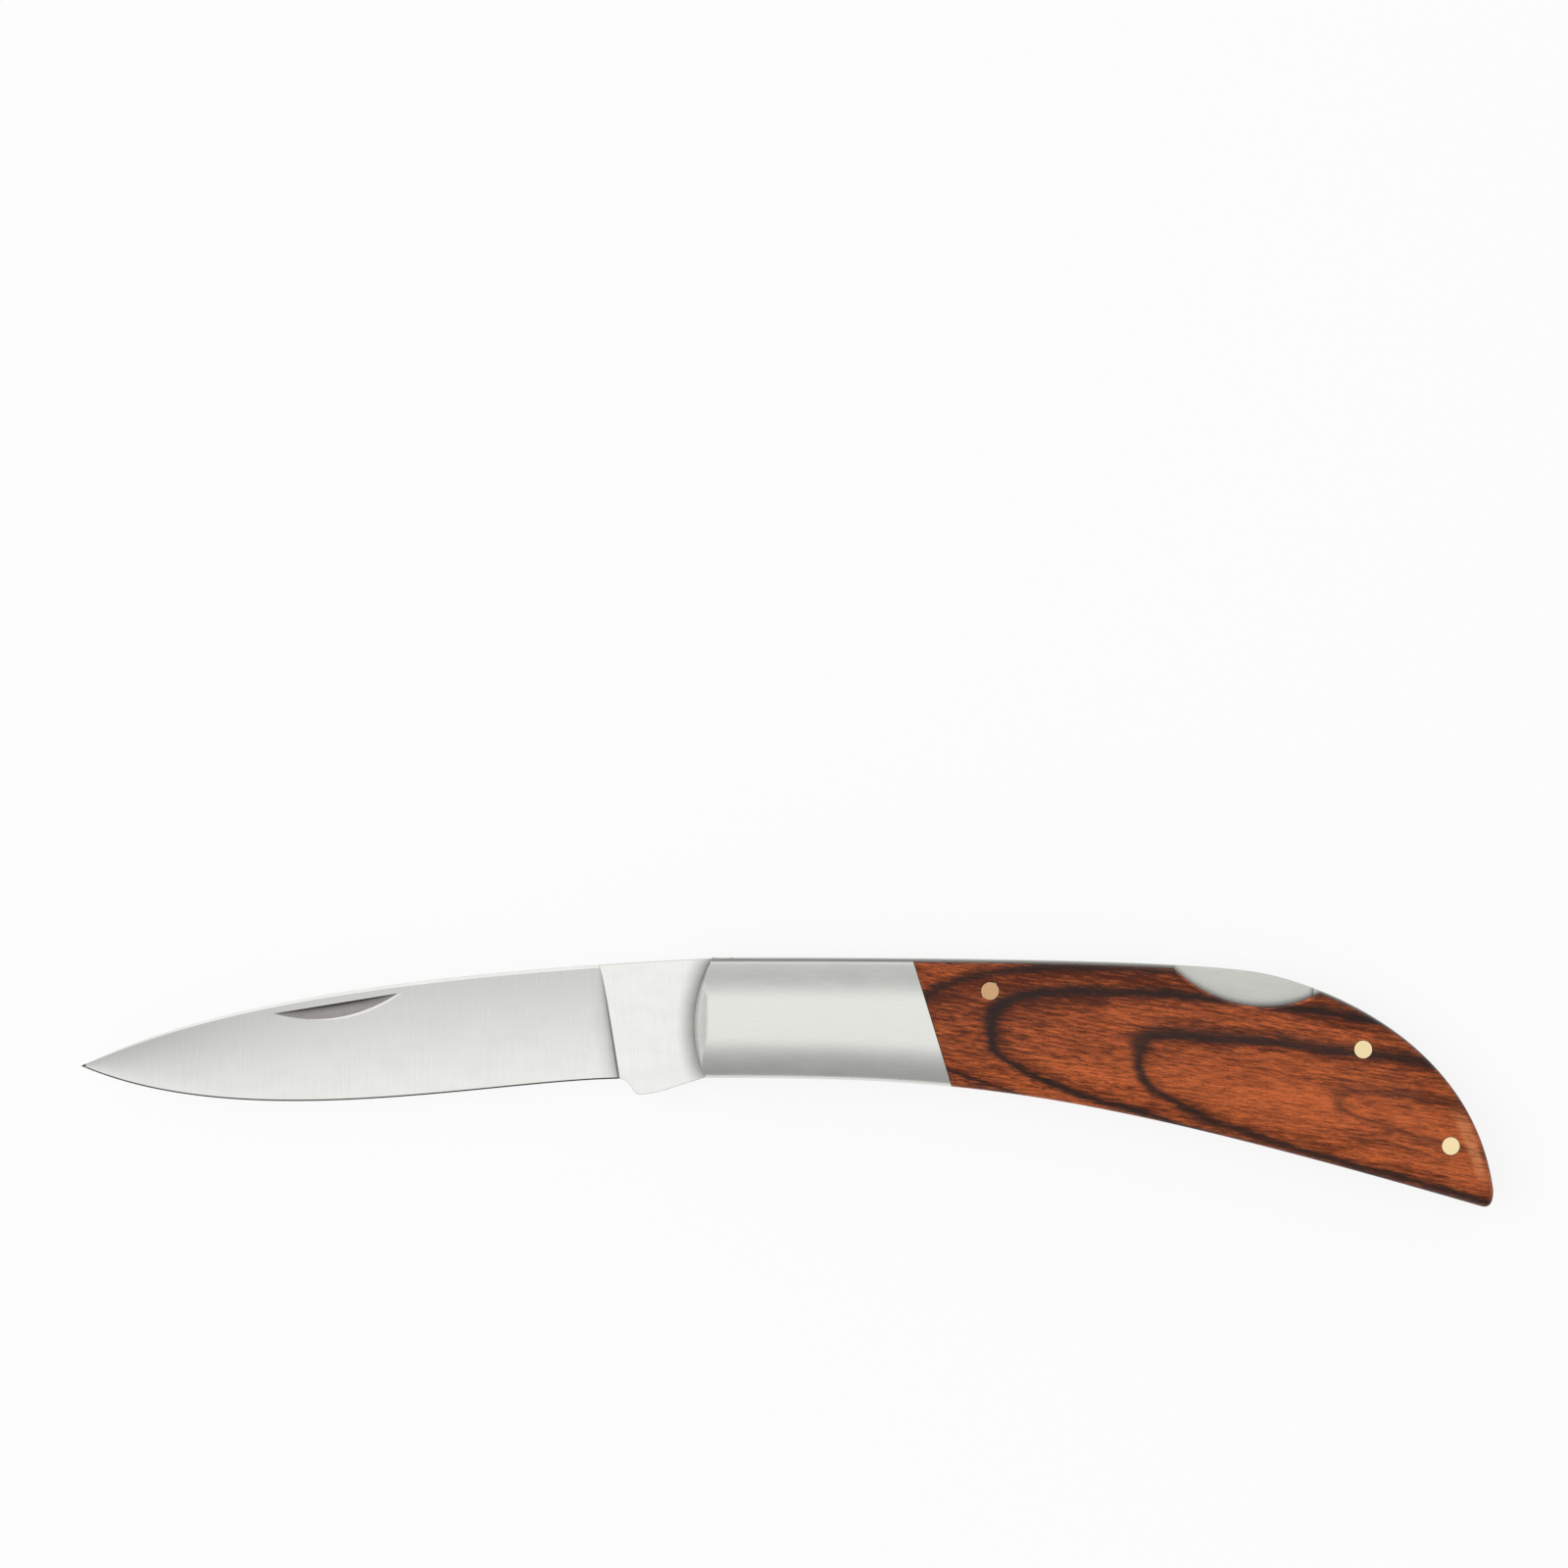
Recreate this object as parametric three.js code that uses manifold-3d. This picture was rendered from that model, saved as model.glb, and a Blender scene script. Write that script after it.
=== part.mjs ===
// Folding lock-back pocket knife, open, lying on its right side. Millimetres, +Z up.
// The blade turns about +Z at the origin. +X runs to the butt, -X to the point, +Y to the handle's back.
// Flat plates are stacked along Z: scale, liner, washer, blade, washer, liner, scale.

import * as THREE from 'three';
import { mergeVertices } from 'three/addons/utils/BufferGeometryUtils.js';
import Module from 'manifold-3d';

const wasm = await Module();
wasm.setup();

// Plate thicknesses and running clearances
const bladeThickness = 2.4;
const washerThickness = 0.2;
const linerThickness = 0.8;
const scaleThickness = 3.0;
const faceClearance = 0.05; // each side of the blade and of the lock bar
const pinClearance = 0.04; // on the radius, round every pin
const seamClearance = 0.02; // between a scale and its bolster

// Handle outline, measured from the blade's pivot
const backHeight = 8.9;
const bellyDepth = 5.75;
const bolsterReach = 5.9; // forward to the bolster's rounded front
const handleReach = 91.9; // back to the butt
const buttDrop = 21.9; // down to the butt's lower corner
const shoulderInset = 27.9; // from the butt to where the back starts to fall
const shoulderDrop = 1.92;
const shoulderSlope = 0.196;
const bellySlope = 0.29; // at the butt
const coverSetback = 0.3; // how far scales and bolsters lie below the steel back

// Corners of the outline, and how far its curves follow their end tangents
const bolsterTopSetback = 2.1;
const bolsterBottomSetback = 1.5;
const frontTopTangent = { x: 3.3, y: 5.2 };
const frontBottomTangent = { x: 1.6, y: 2.1 };
const backTangent = 19.8;
const shoulderFrontTangent = 9.53;
const shoulderRearTangent = 5.61;
const buttTangent = { x: 2.57, y: 19.1 };
const buttCorner = { width: 1.5, height: 2.4 };
const bellyRearTangent = 50.5;
const bellyFrontTangent = 31.4;

// Crowned faces of bolsters and scales
const crownWidth = 5.0;
const crownDepth = 1.8;
const crownFront = 1.0; // ends and arch of the line towards which the crown rises
const crownArch = 2.0;
const crownRear = { inset: 9.9, rise: 10.9 };
const crownStretch = 8.0; // how far the side crown is drawn on past the bolster's front
const frontLineReach = 4.1; // straight line across the bolster, from which its front is rounded down
const frontDepth = 1.6;
const frontLeastWidth = 0.05; // of that rounding, at the back and the belly
const seamReach = 23.5; // bolster to scale seam, at the pivot's height
const seamLean = 0.307; // how far it leans back per millimetre down

// Back spacer at the butt, with room for the closed blade's point
const spacerLength = 21.15;
const spacerFront = handleReach - spacerLength;
const spacerHeel = -3.6; // lowest point of the spacer's front face
const spacerHollow = { x: 7.0, y: 2.0 };
const spacerArc = { below: 0.12, above: 0.02 }; // of its hollow round the point, in radians
const tipRoom = 1.3; // between the spacer and the closed blade's point

// Thumb scoop in scales and liners, ending just behind the lock bar
const scoopLength = 19.4;
const scoopPastBar = 0.55;
const scoopEntryDrop = 0.3; // heights of its ends, below the back
const scoopExitDrop = 3.9;
const scoopFrontTangent = { x: 4.54, y: 5.27 };
const scoopRearTangent = { x: 6.87, y: 3.95 };

// Blade
const buttRoom = 10.6; // from the closed blade's point to the butt
const bladeReach = handleReach - buttRoom;
const pointDrop = 4.36;
const bladeBackHeight = 8.96;
const bladeBackTangent = { x: 58.4, y: 2.6 };
const pointBackTangent = { x: 8.35, y: 3.51 };
const pointEdgeTangent = { x: 19.8, y: 8.55 };
const heelTangent = { x: 16.05, y: 0.26 };
const foldAngle = 169; // degrees from open to closed
const edgeThickness = 0.24;
const bladeStrip = 0.5; // unground strip along the back
const steepestGrind = 0.14; // half thickness per millimetre of height, near the point
const plungeBackReach = 17.2;
const plungeEdgeReach = 15.0;
const plungeRunout = 1.2;
const heelStep = 0.2; // from the plunge's end to the end of the edge, forward and down
const kickReach = 12.7;
const kickDepth = 7.85;
const kickFrontTangents = { heel: 1.6, kick: 1.0 };
const kickRearTangents = { kick: 2.1, tang: { x: 4.4, y: 1.25 } };

// Nail nick, cut by a coned wheel that leaves a straight upper edge and a curved lower one
const nickLength = 15.6;
const nickDepth = 0.6;
const nickTaper = 0.38; // depth lost per millimetre of width
const nickFromPoint = 31.3; // its middle
const nickInset = 1.15; // its middle, below the blade's back

// Tang and lock
const pivotRadius = 1.5;
const washerRadius = 3.2;
const camRadius = 4.35;
const notchDepth = 0.85;
const hookFront = -1.2;
const hookLength = 2.2;
const hookLift = 0.2; // between the hook and the cam while the bar is level
const shoulderClearance = 0.2; // between the bar's front and the blade's shoulder
const beakClearance = 0.1;

// Lock bar
const barHollow = 6.35; // height of its underside over the tang and the closed blade's kick
const barHollowEnd = 16.5;
const barHollowRamp = 0.8;
const barUnderside = 5.75; // from the hollow to the pin's lobe
const barRearHeight = 7.0; // from its back down to the spring
const barLobeWall = 1.4; // round the pin
const lobeFront = { start: 5.0, bend: 3.0, end: 1.5, drop: 1.0 }; // ahead of and below the pin
const lobeRear = { end: 2.0, drop: 1.5 }; // behind and below the pin
const barTangents = { lobe: 6.0, rear: 8.0 };
const barRearFlat = 3.0; // ahead of the spring's tip

// Pins
const pinRadius = 1.1;
const rockerReach = 30.24;
const rockerDrop = 3.98; // of each pin, below the back
const spinePinInset = 16.04; // of each pin, from the butt
const spinePinDrop = 11.12;
const buttPinInset = 5.33;
const buttPinRise = 7.87; // above the butt's corner
const rivetRadius = 0.9;
const rivetHeight = 1.4;
const rivetReaches = { front: 10.0, rear: 18.0 };

// Lock spring, held in the back spacer
const spacerGap = 0.35; // between the lock bar and the spacer
const springThickness = 0.6;
const springLength = 16.75; // free part
const springFoot = 3.4; // held part
const springFall = 2.6; // from the bar's underside down to the foot
const springClearance = 0.1;
const springBend = 5.0; // reach of the bend's tangents

// How finely curves are divided
const curveSteps = 24;
const pinSides = 32;
const crownSteps = 6;
const grindSections = 26;
const runoutSteps = [0.1, 0.35, 0.7];
const wheelSides = 240;
const beyond = 12; // how far cutting shapes run past what they cut

// Levels of the stack
const slotWidth = bladeThickness + 2 * (washerThickness + faceClearance);
const barThickness = slotWidth - 2 * faceClearance;
const rightLinerLevel = scaleThickness;
const slotLevel = rightLinerLevel + linerThickness;
const leftLinerLevel = slotLevel + slotWidth;
const leftScaleLevel = leftLinerLevel + linerThickness;
const handleThickness = leftScaleLevel + scaleThickness;
const bladeLevel = slotLevel + washerThickness + faceClearance;
const barLevel = slotLevel + faceClearance;

// Solids from three.js geometry

function toSolid(geometry) {
  geometry.deleteAttribute('normal');
  geometry.deleteAttribute('uv');
  const merged = mergeVertices(geometry, 1e-5);
  return new wasm.Manifold(new wasm.Mesh({
    numProp: 3,
    vertProperties: merged.attributes.position.array,
    triVerts: merged.index.array,
  }));
}

function toGeometry(solid) {
  const mesh = solid.getMesh();
  const geometry = new THREE.BufferGeometry();
  geometry.setAttribute('position', new THREE.BufferAttribute(mesh.vertProperties, 3));
  geometry.setIndex(new THREE.BufferAttribute(mesh.triVerts, 1));
  geometry.computeVertexNormals();
  return geometry;
}

function plate(shape, thickness, level = 0, turn = 0) {
  const geometry = new THREE.ExtrudeGeometry(shape, {
    depth: thickness,
    bevelEnabled: false,
    curveSegments: curveSteps,
  });
  return toSolid(geometry.translate(0, 0, level).rotateZ(THREE.MathUtils.degToRad(turn)));
}

// A plate that reaches through the whole handle and past both its faces
function cutter(shape, turn = 0) {
  return plate(shape, handleThickness + 2 * beyond, -beyond, turn);
}

function rod(radius, length, place, level = 0) {
  const geometry = new THREE.CylinderGeometry(radius, radius, length, pinSides);
  return toSolid(geometry.rotateX(Math.PI / 2).translate(place.x, place.y, level + length / 2));
}

function polygon(points) {
  return new THREE.Shape(points.map(([x, y]) => new THREE.Vector2(x, y)));
}

function middleOf(ring) {
  return ring[0].map((_, axis) => ring.reduce((sum, point) => sum + point[axis], 0) / ring.length);
}

// Joins rings of equally many points, each running anticlockwise, into one closed solid
function loft(rings) {
  const count = rings[0].length;
  const positions = rings.flat(2);
  const triangles = [];
  for (let ring = 0; ring + 1 < rings.length; ring += 1) {
    for (let i = 0; i < count; i += 1) {
      const a = ring * count + i;
      const b = ring * count + ((i + 1) % count);
      triangles.push(a, b, b + count, a, b + count, a + count);
    }
  }
  const last = (rings.length - 1) * count;
  const centres = rings.length * count;
  positions.push(...middleOf(rings[0]), ...middleOf(rings.at(-1)));
  for (let i = 0; i < count; i += 1) {
    const next = (i + 1) % count;
    triangles.push(centres, next, i, centres + 1, last + i, last + next);
  }
  const geometry = new THREE.BufferGeometry();
  geometry.setAttribute('position', new THREE.Float32BufferAttribute(positions, 3));
  geometry.setIndex(triangles);
  return toSolid(geometry);
}

// Handle

const bolsterTopX = bolsterTopSetback - bolsterReach;
const bolsterBottomX = bolsterBottomSetback - bolsterReach;

function frontEdge(setback, stretch) {
  const top = { x: bolsterTopX - stretch, y: backHeight - setback };
  const bottom = { x: bolsterBottomX - stretch, y: -bellyDepth };
  return new THREE.CubicBezierCurve(
    new THREE.Vector2(bottom.x, bottom.y),
    new THREE.Vector2(bottom.x - frontBottomTangent.x, bottom.y + frontBottomTangent.y),
    new THREE.Vector2(top.x - frontTopTangent.x, top.y - frontTopTangent.y),
    new THREE.Vector2(top.x, top.y),
  );
}

// Back, butt, belly and front of the handle. The setback lowers the back, a stretch moves the front on.
function handleOutline(setback = 0, stretch = 0) {
  const front = frontEdge(setback, stretch);
  const back = front.v3.y;
  const shoulder = { x: handleReach - shoulderInset, y: back - shoulderDrop };
  const buttTop = { x: handleReach, y: buttCorner.height - buttDrop };
  const buttBottom = { x: handleReach - buttCorner.width, y: buttCorner.width * bellySlope - buttDrop };
  const shape = new THREE.Shape();
  shape.moveTo(front.v3.x, back);
  if (stretch > 0) {
    shape.lineTo(bolsterTopX, back);
  }
  shape.bezierCurveTo(
    bolsterTopX + backTangent, back,
    shoulder.x - shoulderFrontTangent, shoulder.y + shoulderFrontTangent * shoulderSlope,
    shoulder.x, shoulder.y,
  );
  shape.bezierCurveTo(
    shoulder.x + shoulderRearTangent, shoulder.y - shoulderRearTangent * shoulderSlope,
    buttTop.x - buttTangent.x, buttTop.y + buttTangent.y,
    buttTop.x, buttTop.y,
  );
  shape.quadraticCurveTo(handleReach, -buttDrop, buttBottom.x, buttBottom.y);
  shape.bezierCurveTo(
    buttBottom.x - bellyRearTangent, buttBottom.y + bellyRearTangent * bellySlope,
    bolsterBottomX + bellyFrontTangent, -bellyDepth,
    bolsterBottomX, -bellyDepth,
  );
  if (stretch > 0) {
    shape.lineTo(front.v0.x, front.v0.y);
  }
  shape.curves.push(front);
  return shape;
}

function handlePlate(thickness, level = 0) {
  return plate(handleOutline(), thickness, level);
}

// Line midway between the back and the belly, towards which the covers' crown rises
const middleLine = new THREE.QuadraticBezierCurve3(
  new THREE.Vector3(crownFront, (backHeight - bellyDepth) / 2, 0),
  new THREE.Vector3(handleReach / 2, crownArch, 0),
  new THREE.Vector3(handleReach - crownRear.inset, crownRear.rise - buttDrop, 0),
).getPoints(curveSteps);

function nearestOnMiddle(point) {
  const places = middleLine.slice(1).map((end, i) => (
    new THREE.Line3(middleLine[i], end).closestPointToPoint(point, true, new THREE.Vector3())
  ));
  places.sort((a, b) => a.distanceTo(point) - b.distanceTo(point));
  return places[0];
}

// Quarter ellipse from a wall to a face, as shares of its width and depth
const quarter = Array.from({ length: crownSteps + 1 }, (_, step) => {
  const angle = (step / crownSteps) * (Math.PI / 2);
  return { inset: 1 - Math.cos(angle), drop: 1 - Math.sin(angle) };
});

// Body with both its faces rounded down over the given depth. The ring is drawn for each share of the inset.
function roundedBody(ring, depth) {
  const right = quarter.map(({ inset, drop }) => ring(inset, depth * drop)).reverse();
  const left = quarter.map(({ inset, drop }) => ring(inset, handleThickness - depth * drop));
  return loft([...right, ...left]);
}

// Whole form of the handle, crowned from its outline towards the middle line
function crownedBody(outline) {
  const clockwise = outline.extractPoints(curveSteps).shape.slice(1);
  const edge = clockwise.reverse().map(({ x, y }) => new THREE.Vector3(x, y, 0));
  const inward = edge.map((point) => nearestOnMiddle(point).sub(point).normalize());
  return roundedBody((inset, level) => edge.map((point, i) => {
    const place = point.clone().addScaledVector(inward[i], crownWidth * inset);
    return [place.x, place.y, level];
  }), crownDepth);
}

// Everything behind the bolsters' rounded front
function frontedBody() {
  const edge = frontEdge(coverSetback, 0).getPoints(curveSteps).reverse();
  const [top, bottom] = [edge[0], edge.at(-1)];
  const points = [
    { x: top.x, y: top.y + beyond },
    ...edge,
    { x: bottom.x, y: bottom.y - beyond },
  ];
  const far = seamReach + 2 * beyond;
  return roundedBody((inset, level) => {
    const front = points.map(({ x, y }) => (
      [x + inset * Math.max(-frontLineReach - x, frontLeastWidth), y, level]
    ));
    return [[far, points.at(-1).y, level], [far, points[0].y, level], ...front];
  }, frontDepth);
}

const handleBody = crownedBody(handleOutline(coverSetback));
const bolsterBody = crownedBody(handleOutline(coverSetback, crownStretch)).intersect(frontedBody());

// Half plane in front of the seam (side -1) or behind it (side 1), up to the handle's ends and beyond
function seamRegion(side) {
  const top = backHeight + beyond;
  const bottom = -buttDrop - beyond;
  const far = side < 0 ? -bolsterReach - beyond : handleReach + beyond;
  const seam = seamReach + (side * seamClearance) / 2;
  return polygon([
    [far, top],
    [seam - top * seamLean, top],
    [seam - bottom * seamLean, bottom],
    [far, bottom],
  ]);
}

function scoopOutline() {
  const end = { x: spacerFront + scoopPastBar, y: backHeight - scoopExitDrop };
  const start = { x: end.x - scoopLength, y: backHeight - scoopEntryDrop };
  const shape = new THREE.Shape();
  shape.moveTo(start.x, start.y);
  shape.bezierCurveTo(
    start.x + scoopFrontTangent.x, start.y - scoopFrontTangent.y,
    end.x - scoopRearTangent.x, end.y - scoopRearTangent.y,
    end.x, end.y,
  );
  shape.lineTo(end.x, backHeight + beyond);
  shape.lineTo(start.x, backHeight + beyond);
  return shape;
}

function drilled(solid, radius, places) {
  return places.reduce((rest, place) => (
    rest.subtract(rod(radius + pinClearance, handleThickness + 2 * beyond, place, -beyond))
  ), solid);
}

const pivot = { x: 0, y: 0 };
const rocker = { x: rockerReach, y: backHeight - rockerDrop };
const spinePin = { x: handleReach - spinePinInset, y: backHeight - spinePinDrop };
const buttPin = { x: handleReach - buttPinInset, y: buttPinRise - buttDrop };
const handlePins = [rocker, spinePin, buttPin];
const rivetPlaces = Object.values(rivetReaches).map((x) => ({ x, y: rivetHeight }));

function liner() {
  const blank = handlePlate(linerThickness).subtract(cutter(scoopOutline()));
  const pinned = drilled(drilled(blank, pivotRadius, [pivot]), pinRadius, handlePins);
  return drilled(pinned, rivetRadius, rivetPlaces);
}

function bolster(level) {
  const blank = bolsterBody.intersect(plate(seamRegion(-1), scaleThickness, level));
  return drilled(drilled(blank, pivotRadius, [pivot]), rivetRadius, rivetPlaces);
}

function scale(level) {
  const blank = handleBody.intersect(plate(seamRegion(1), scaleThickness, level));
  return drilled(blank.subtract(cutter(scoopOutline())), pinRadius, handlePins);
}

function washer() {
  return drilled(rod(washerRadius, washerThickness, pivot), pivotRadius, [pivot]);
}

function bolsterRivet(reach) {
  return rod(rivetRadius, linerThickness + scaleThickness, { x: reach, y: rivetHeight });
}

// Through pin, ground flush with the crowned faces
function flushPin(radius, place, body) {
  return rod(radius, handleThickness, place).intersect(body);
}

// Blade

const hookRear = hookFront + hookLength;
const notchFloor = camRadius - notchDepth;
const bladePoint = { x: -bladeReach, y: -pointDrop };
const bladeShoulder = { x: hookFront - shoulderClearance, y: bladeBackHeight };
const heel = { x: -plungeEdgeReach - heelStep, y: -bellyDepth - heelStep };
const kick = { x: -kickReach, y: -kickDepth };
const tangCorner = { x: bolsterBottomX, y: faceClearance - bellyDepth }; // here the blade enters the handle

const bladeBack = new THREE.CubicBezierCurve(
  new THREE.Vector2(bladeShoulder.x, bladeShoulder.y),
  new THREE.Vector2(bladeShoulder.x - bladeBackTangent.x, bladeShoulder.y - bladeBackTangent.y),
  new THREE.Vector2(bladePoint.x + pointBackTangent.x, bladePoint.y + pointBackTangent.y),
  new THREE.Vector2(bladePoint.x, bladePoint.y),
);

const bladeEdge = new THREE.CubicBezierCurve(
  new THREE.Vector2(bladePoint.x, bladePoint.y),
  new THREE.Vector2(bladePoint.x + pointEdgeTangent.x, bladePoint.y - pointEdgeTangent.y),
  new THREE.Vector2(heel.x - heelTangent.x, heel.y - heelTangent.y),
  new THREE.Vector2(heel.x, heel.y),
);

// The back, round the point, along the edge, over the kick and round the cam to the lock notch
function bladeOutline() {
  const reach = Math.hypot(tangCorner.x, tangCorner.y);
  const camStart = Math.atan2(tangCorner.y, tangCorner.x) + Math.acos(camRadius / reach);
  const beak = hookRear + beakClearance;
  const shape = new THREE.Shape();
  shape.curves.push(bladeBack, bladeEdge);
  shape.currentPoint.copy(bladeEdge.v3);
  shape.bezierCurveTo(heel.x + kickFrontTangents.heel, heel.y, kick.x - kickFrontTangents.kick, kick.y,
    kick.x, kick.y);
  shape.bezierCurveTo(kick.x + kickRearTangents.kick, kick.y,
    tangCorner.x - kickRearTangents.tang.x, tangCorner.y - kickRearTangents.tang.y,
    tangCorner.x, tangCorner.y);
  shape.absarc(0, 0, camRadius, camStart, Math.acos(beak / camRadius), false);
  shape.lineTo(beak, notchFloor);
  shape.lineTo(bladeShoulder.x, notchFloor);
  shape.closePath();
  return shape;
}

// Flat on the cam that leaves room for the hook when the blade is closed
function closingFlat() {
  const outline = polygon([
    [-camRadius, notchFloor],
    [hookRear + beakClearance, notchFloor],
    [hookRear + beakClearance, camRadius + beyond],
    [-camRadius, camRadius + beyond],
  ]);
  return cutter(outline, -foldAngle);
}

function heightAt(curve, x) {
  const points = curve.getPoints(4 * curveSteps);
  const i = points.findIndex((p, k) => k > 0 && (p.x - x) * (points[k - 1].x - x) <= 0);
  const [a, b] = [points[i - 1], points[i]];
  return a.y + ((b.y - a.y) * (x - a.x)) / (b.x - a.x);
}

// Cross-section of the ground blade from its edge to its back, where a fade of 1 leaves it unground
function grindSection(edge, back, fade) {
  const overrun = 0.6;
  const height = back.y - edge.y;
  const land = (bladeThickness - edgeThickness) / 2;
  const slope = Math.min(land / Math.max(height - bladeStrip, 0.01), steepestGrind);
  const unground = bladeThickness;
  const low = edgeThickness / 2 - slope * overrun;
  const high = edgeThickness / 2 + slope * (height + overrun);
  const lowHalf = low + (unground - low) * fade;
  const highHalf = high + (unground - high) * fade;
  const middle = bladeThickness / 2;
  return [
    [edge.x, edge.y - overrun, middle - lowHalf],
    [edge.x, edge.y - overrun, middle + lowHalf],
    [back.x, back.y + overrun, middle + highHalf],
    [back.x, back.y + overrun, middle - highHalf],
  ];
}

// Everything between the two ground faces, from behind the tang to beyond the point
function groundBody() {
  const margin = 2;
  const tangEnd = camRadius + margin;
  const tall = bladeBackHeight + margin;
  const deep = -kickDepth - margin;
  const sections = [
    grindSection({ x: tangEnd, y: deep }, { x: tangEnd, y: tall }, 1),
    grindSection({ x: -plungeEdgeReach, y: deep }, { x: -plungeBackReach, y: tall }, 1),
  ];
  for (const step of runoutSteps) {
    const x = plungeRunout * step;
    const fade = 1 - Math.sqrt(1 - (1 - step) ** 2);
    const edge = { x: -plungeEdgeReach - x, y: heightAt(bladeEdge, heel.x - x) };
    const back = { x: -plungeBackReach - x, y: heightAt(bladeBack, -plungeBackReach - x) };
    sections.push(grindSection(edge, back, fade));
  }
  for (let i = 0; i < grindSections; i += 1) {
    const t = Math.sin((i / grindSections) * (Math.PI / 2));
    const edgeX = THREE.MathUtils.lerp(heel.x - plungeRunout, bladePoint.x, t);
    const backX = THREE.MathUtils.lerp(-plungeBackReach - plungeRunout, bladePoint.x, t);
    const edge = { x: edgeX, y: heightAt(bladeEdge, edgeX) };
    const back = { x: backX, y: heightAt(bladeBack, backX) };
    sections.push(grindSection(edge, back, 0));
  }
  const tip = { x: bladePoint.x - margin, y: bladePoint.y };
  sections.push(grindSection(tip, tip, 0));
  return loft(sections);
}

function nickWheel() {
  const width = 4 * (nickDepth / nickTaper);
  const radius = (nickLength ** 2 / 4 + nickDepth ** 2) / (2 * nickDepth);
  const middle = nickFromPoint - bladeReach;
  const ends = [-1, 1].map((end) => heightAt(bladeBack, middle + (end * nickLength) / 2));
  const wheel = new THREE.CylinderGeometry(radius, radius - nickTaper * width, width, wheelSides);
  wheel.translate(0, -width / 2, 0);
  wheel.rotateZ(Math.atan((ends[1] - ends[0]) / nickLength));
  wheel.translate(middle, (ends[0] + ends[1]) / 2 - nickInset, bladeThickness - nickDepth + radius);
  return toSolid(wheel);
}

function blade() {
  const blank = plate(bladeOutline(), bladeThickness)
    .intersect(groundBody())
    .subtract(nickWheel())
    .subtract(closingFlat());
  return drilled(blank, pivotRadius, [pivot]);
}

// Lock

const barRearUnderside = backHeight - barRearHeight;
const springTip = spacerFront - springLength;

function lockBar() {
  const top = backHeight + beyond;
  const end = spacerFront - spacerGap;
  const hookBottom = camRadius + hookLift;
  const shape = new THREE.Shape();
  shape.moveTo(hookFront, top);
  shape.lineTo(hookFront, hookBottom);
  shape.lineTo(hookRear, hookBottom);
  shape.lineTo(hookRear, barHollow);
  shape.lineTo(barHollowEnd, barHollow);
  shape.lineTo(barHollowEnd + barHollowRamp, barUnderside);
  shape.lineTo(rocker.x - lobeFront.start, barUnderside);
  shape.quadraticCurveTo(rocker.x - lobeFront.bend, barUnderside,
    rocker.x - lobeFront.end, rocker.y - lobeFront.drop);
  shape.lineTo(rocker.x + lobeRear.end, rocker.y - lobeRear.drop);
  shape.bezierCurveTo(rocker.x + lobeRear.end + barTangents.lobe, rocker.y - lobeRear.drop,
    springTip - barRearFlat - barTangents.rear, barRearUnderside,
    springTip - barRearFlat, barRearUnderside);
  shape.lineTo(end, barRearUnderside);
  shape.lineTo(end, top);
  const bar = plate(shape, barThickness).add(rod(pinRadius + barLobeWall, barThickness, rocker));
  return drilled(bar.intersect(handlePlate(barThickness)), pinRadius, [rocker]);
}

// The leaf lies in its slot in the spacer and bends up to just under the bar
function springOutline(clearance) {
  const bend = spacerFront - springClearance;
  const foot = spacerFront + springFoot + clearance;
  const tipTop = barRearUnderside - springClearance;
  const footTop = barRearUnderside - springFall + clearance;
  const footBottom = footTop - springThickness - 2 * clearance;
  const shape = new THREE.Shape();
  shape.moveTo(foot, footBottom);
  shape.lineTo(foot, footTop);
  shape.lineTo(bend, footTop);
  shape.bezierCurveTo(bend - springBend, footTop, springTip + springBend, tipTop, springTip, tipTop);
  shape.lineTo(springTip, tipTop - springThickness);
  shape.bezierCurveTo(springTip + springBend, tipTop - springThickness, bend - springBend, footBottom,
    bend, footBottom);
  return shape;
}

function lockSpring() {
  return plate(springOutline(0), barThickness);
}

function backSpacer() {
  const room = bladeReach + tipRoom;
  const tipAngle = Math.atan2(-pointDrop, -bladeReach) + THREE.MathUtils.degToRad(foldAngle);
  const onArc = (turn) => ({ x: room * Math.cos(tipAngle + turn), y: room * Math.sin(tipAngle + turn) });
  const high = onArc(spacerArc.above);
  const low = onArc(-spacerArc.below);
  const shape = new THREE.Shape();
  shape.moveTo(spacerFront, backHeight + beyond);
  shape.lineTo(spacerFront, spacerHeel);
  shape.quadraticCurveTo(spacerFront + spacerHollow.x, spacerHeel - spacerHollow.y, high.x, high.y);
  shape.lineTo(low.x, low.y);
  shape.lineTo(low.x, -buttDrop - beyond);
  shape.lineTo(handleReach + beyond, -buttDrop - beyond);
  shape.lineTo(handleReach + beyond, backHeight + beyond);
  const block = plate(shape, slotWidth).intersect(handlePlate(slotWidth));
  return drilled(block.subtract(cutter(springOutline(pinClearance))), pinRadius, [spinePin, buttPin]);
}

// Assembly

const satinSteel = { color: 0xdadbd8, roughness: 0.34, metalness: 1.0 };
const brushedSteel = { color: 0xcfcfcc, roughness: 0.42, metalness: 1.0 };
const springSteel = { color: 0xb9bab8, roughness: 0.45, metalness: 1.0 };
const laminatedWood = { color: 0x92504a, roughness: 0.45, metalness: 0.0 };
const copper = { color: 0xd6a982, roughness: 0.35, metalness: 1.0 };
const paleBrass = { color: 0xefd9af, roughness: 0.35, metalness: 1.0 };
const bronze = { color: 0xb98a4e, roughness: 0.4, metalness: 1.0 };

function piece(name, solid, finish, level, place = pivot) {
  const geometry = toGeometry(solid).translate(-place.x, -place.y, 0);
  const mesh = new THREE.Mesh(geometry, new THREE.MeshStandardMaterial(finish));
  mesh.name = name;
  mesh.position.z = level;
  return mesh;
}

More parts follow.
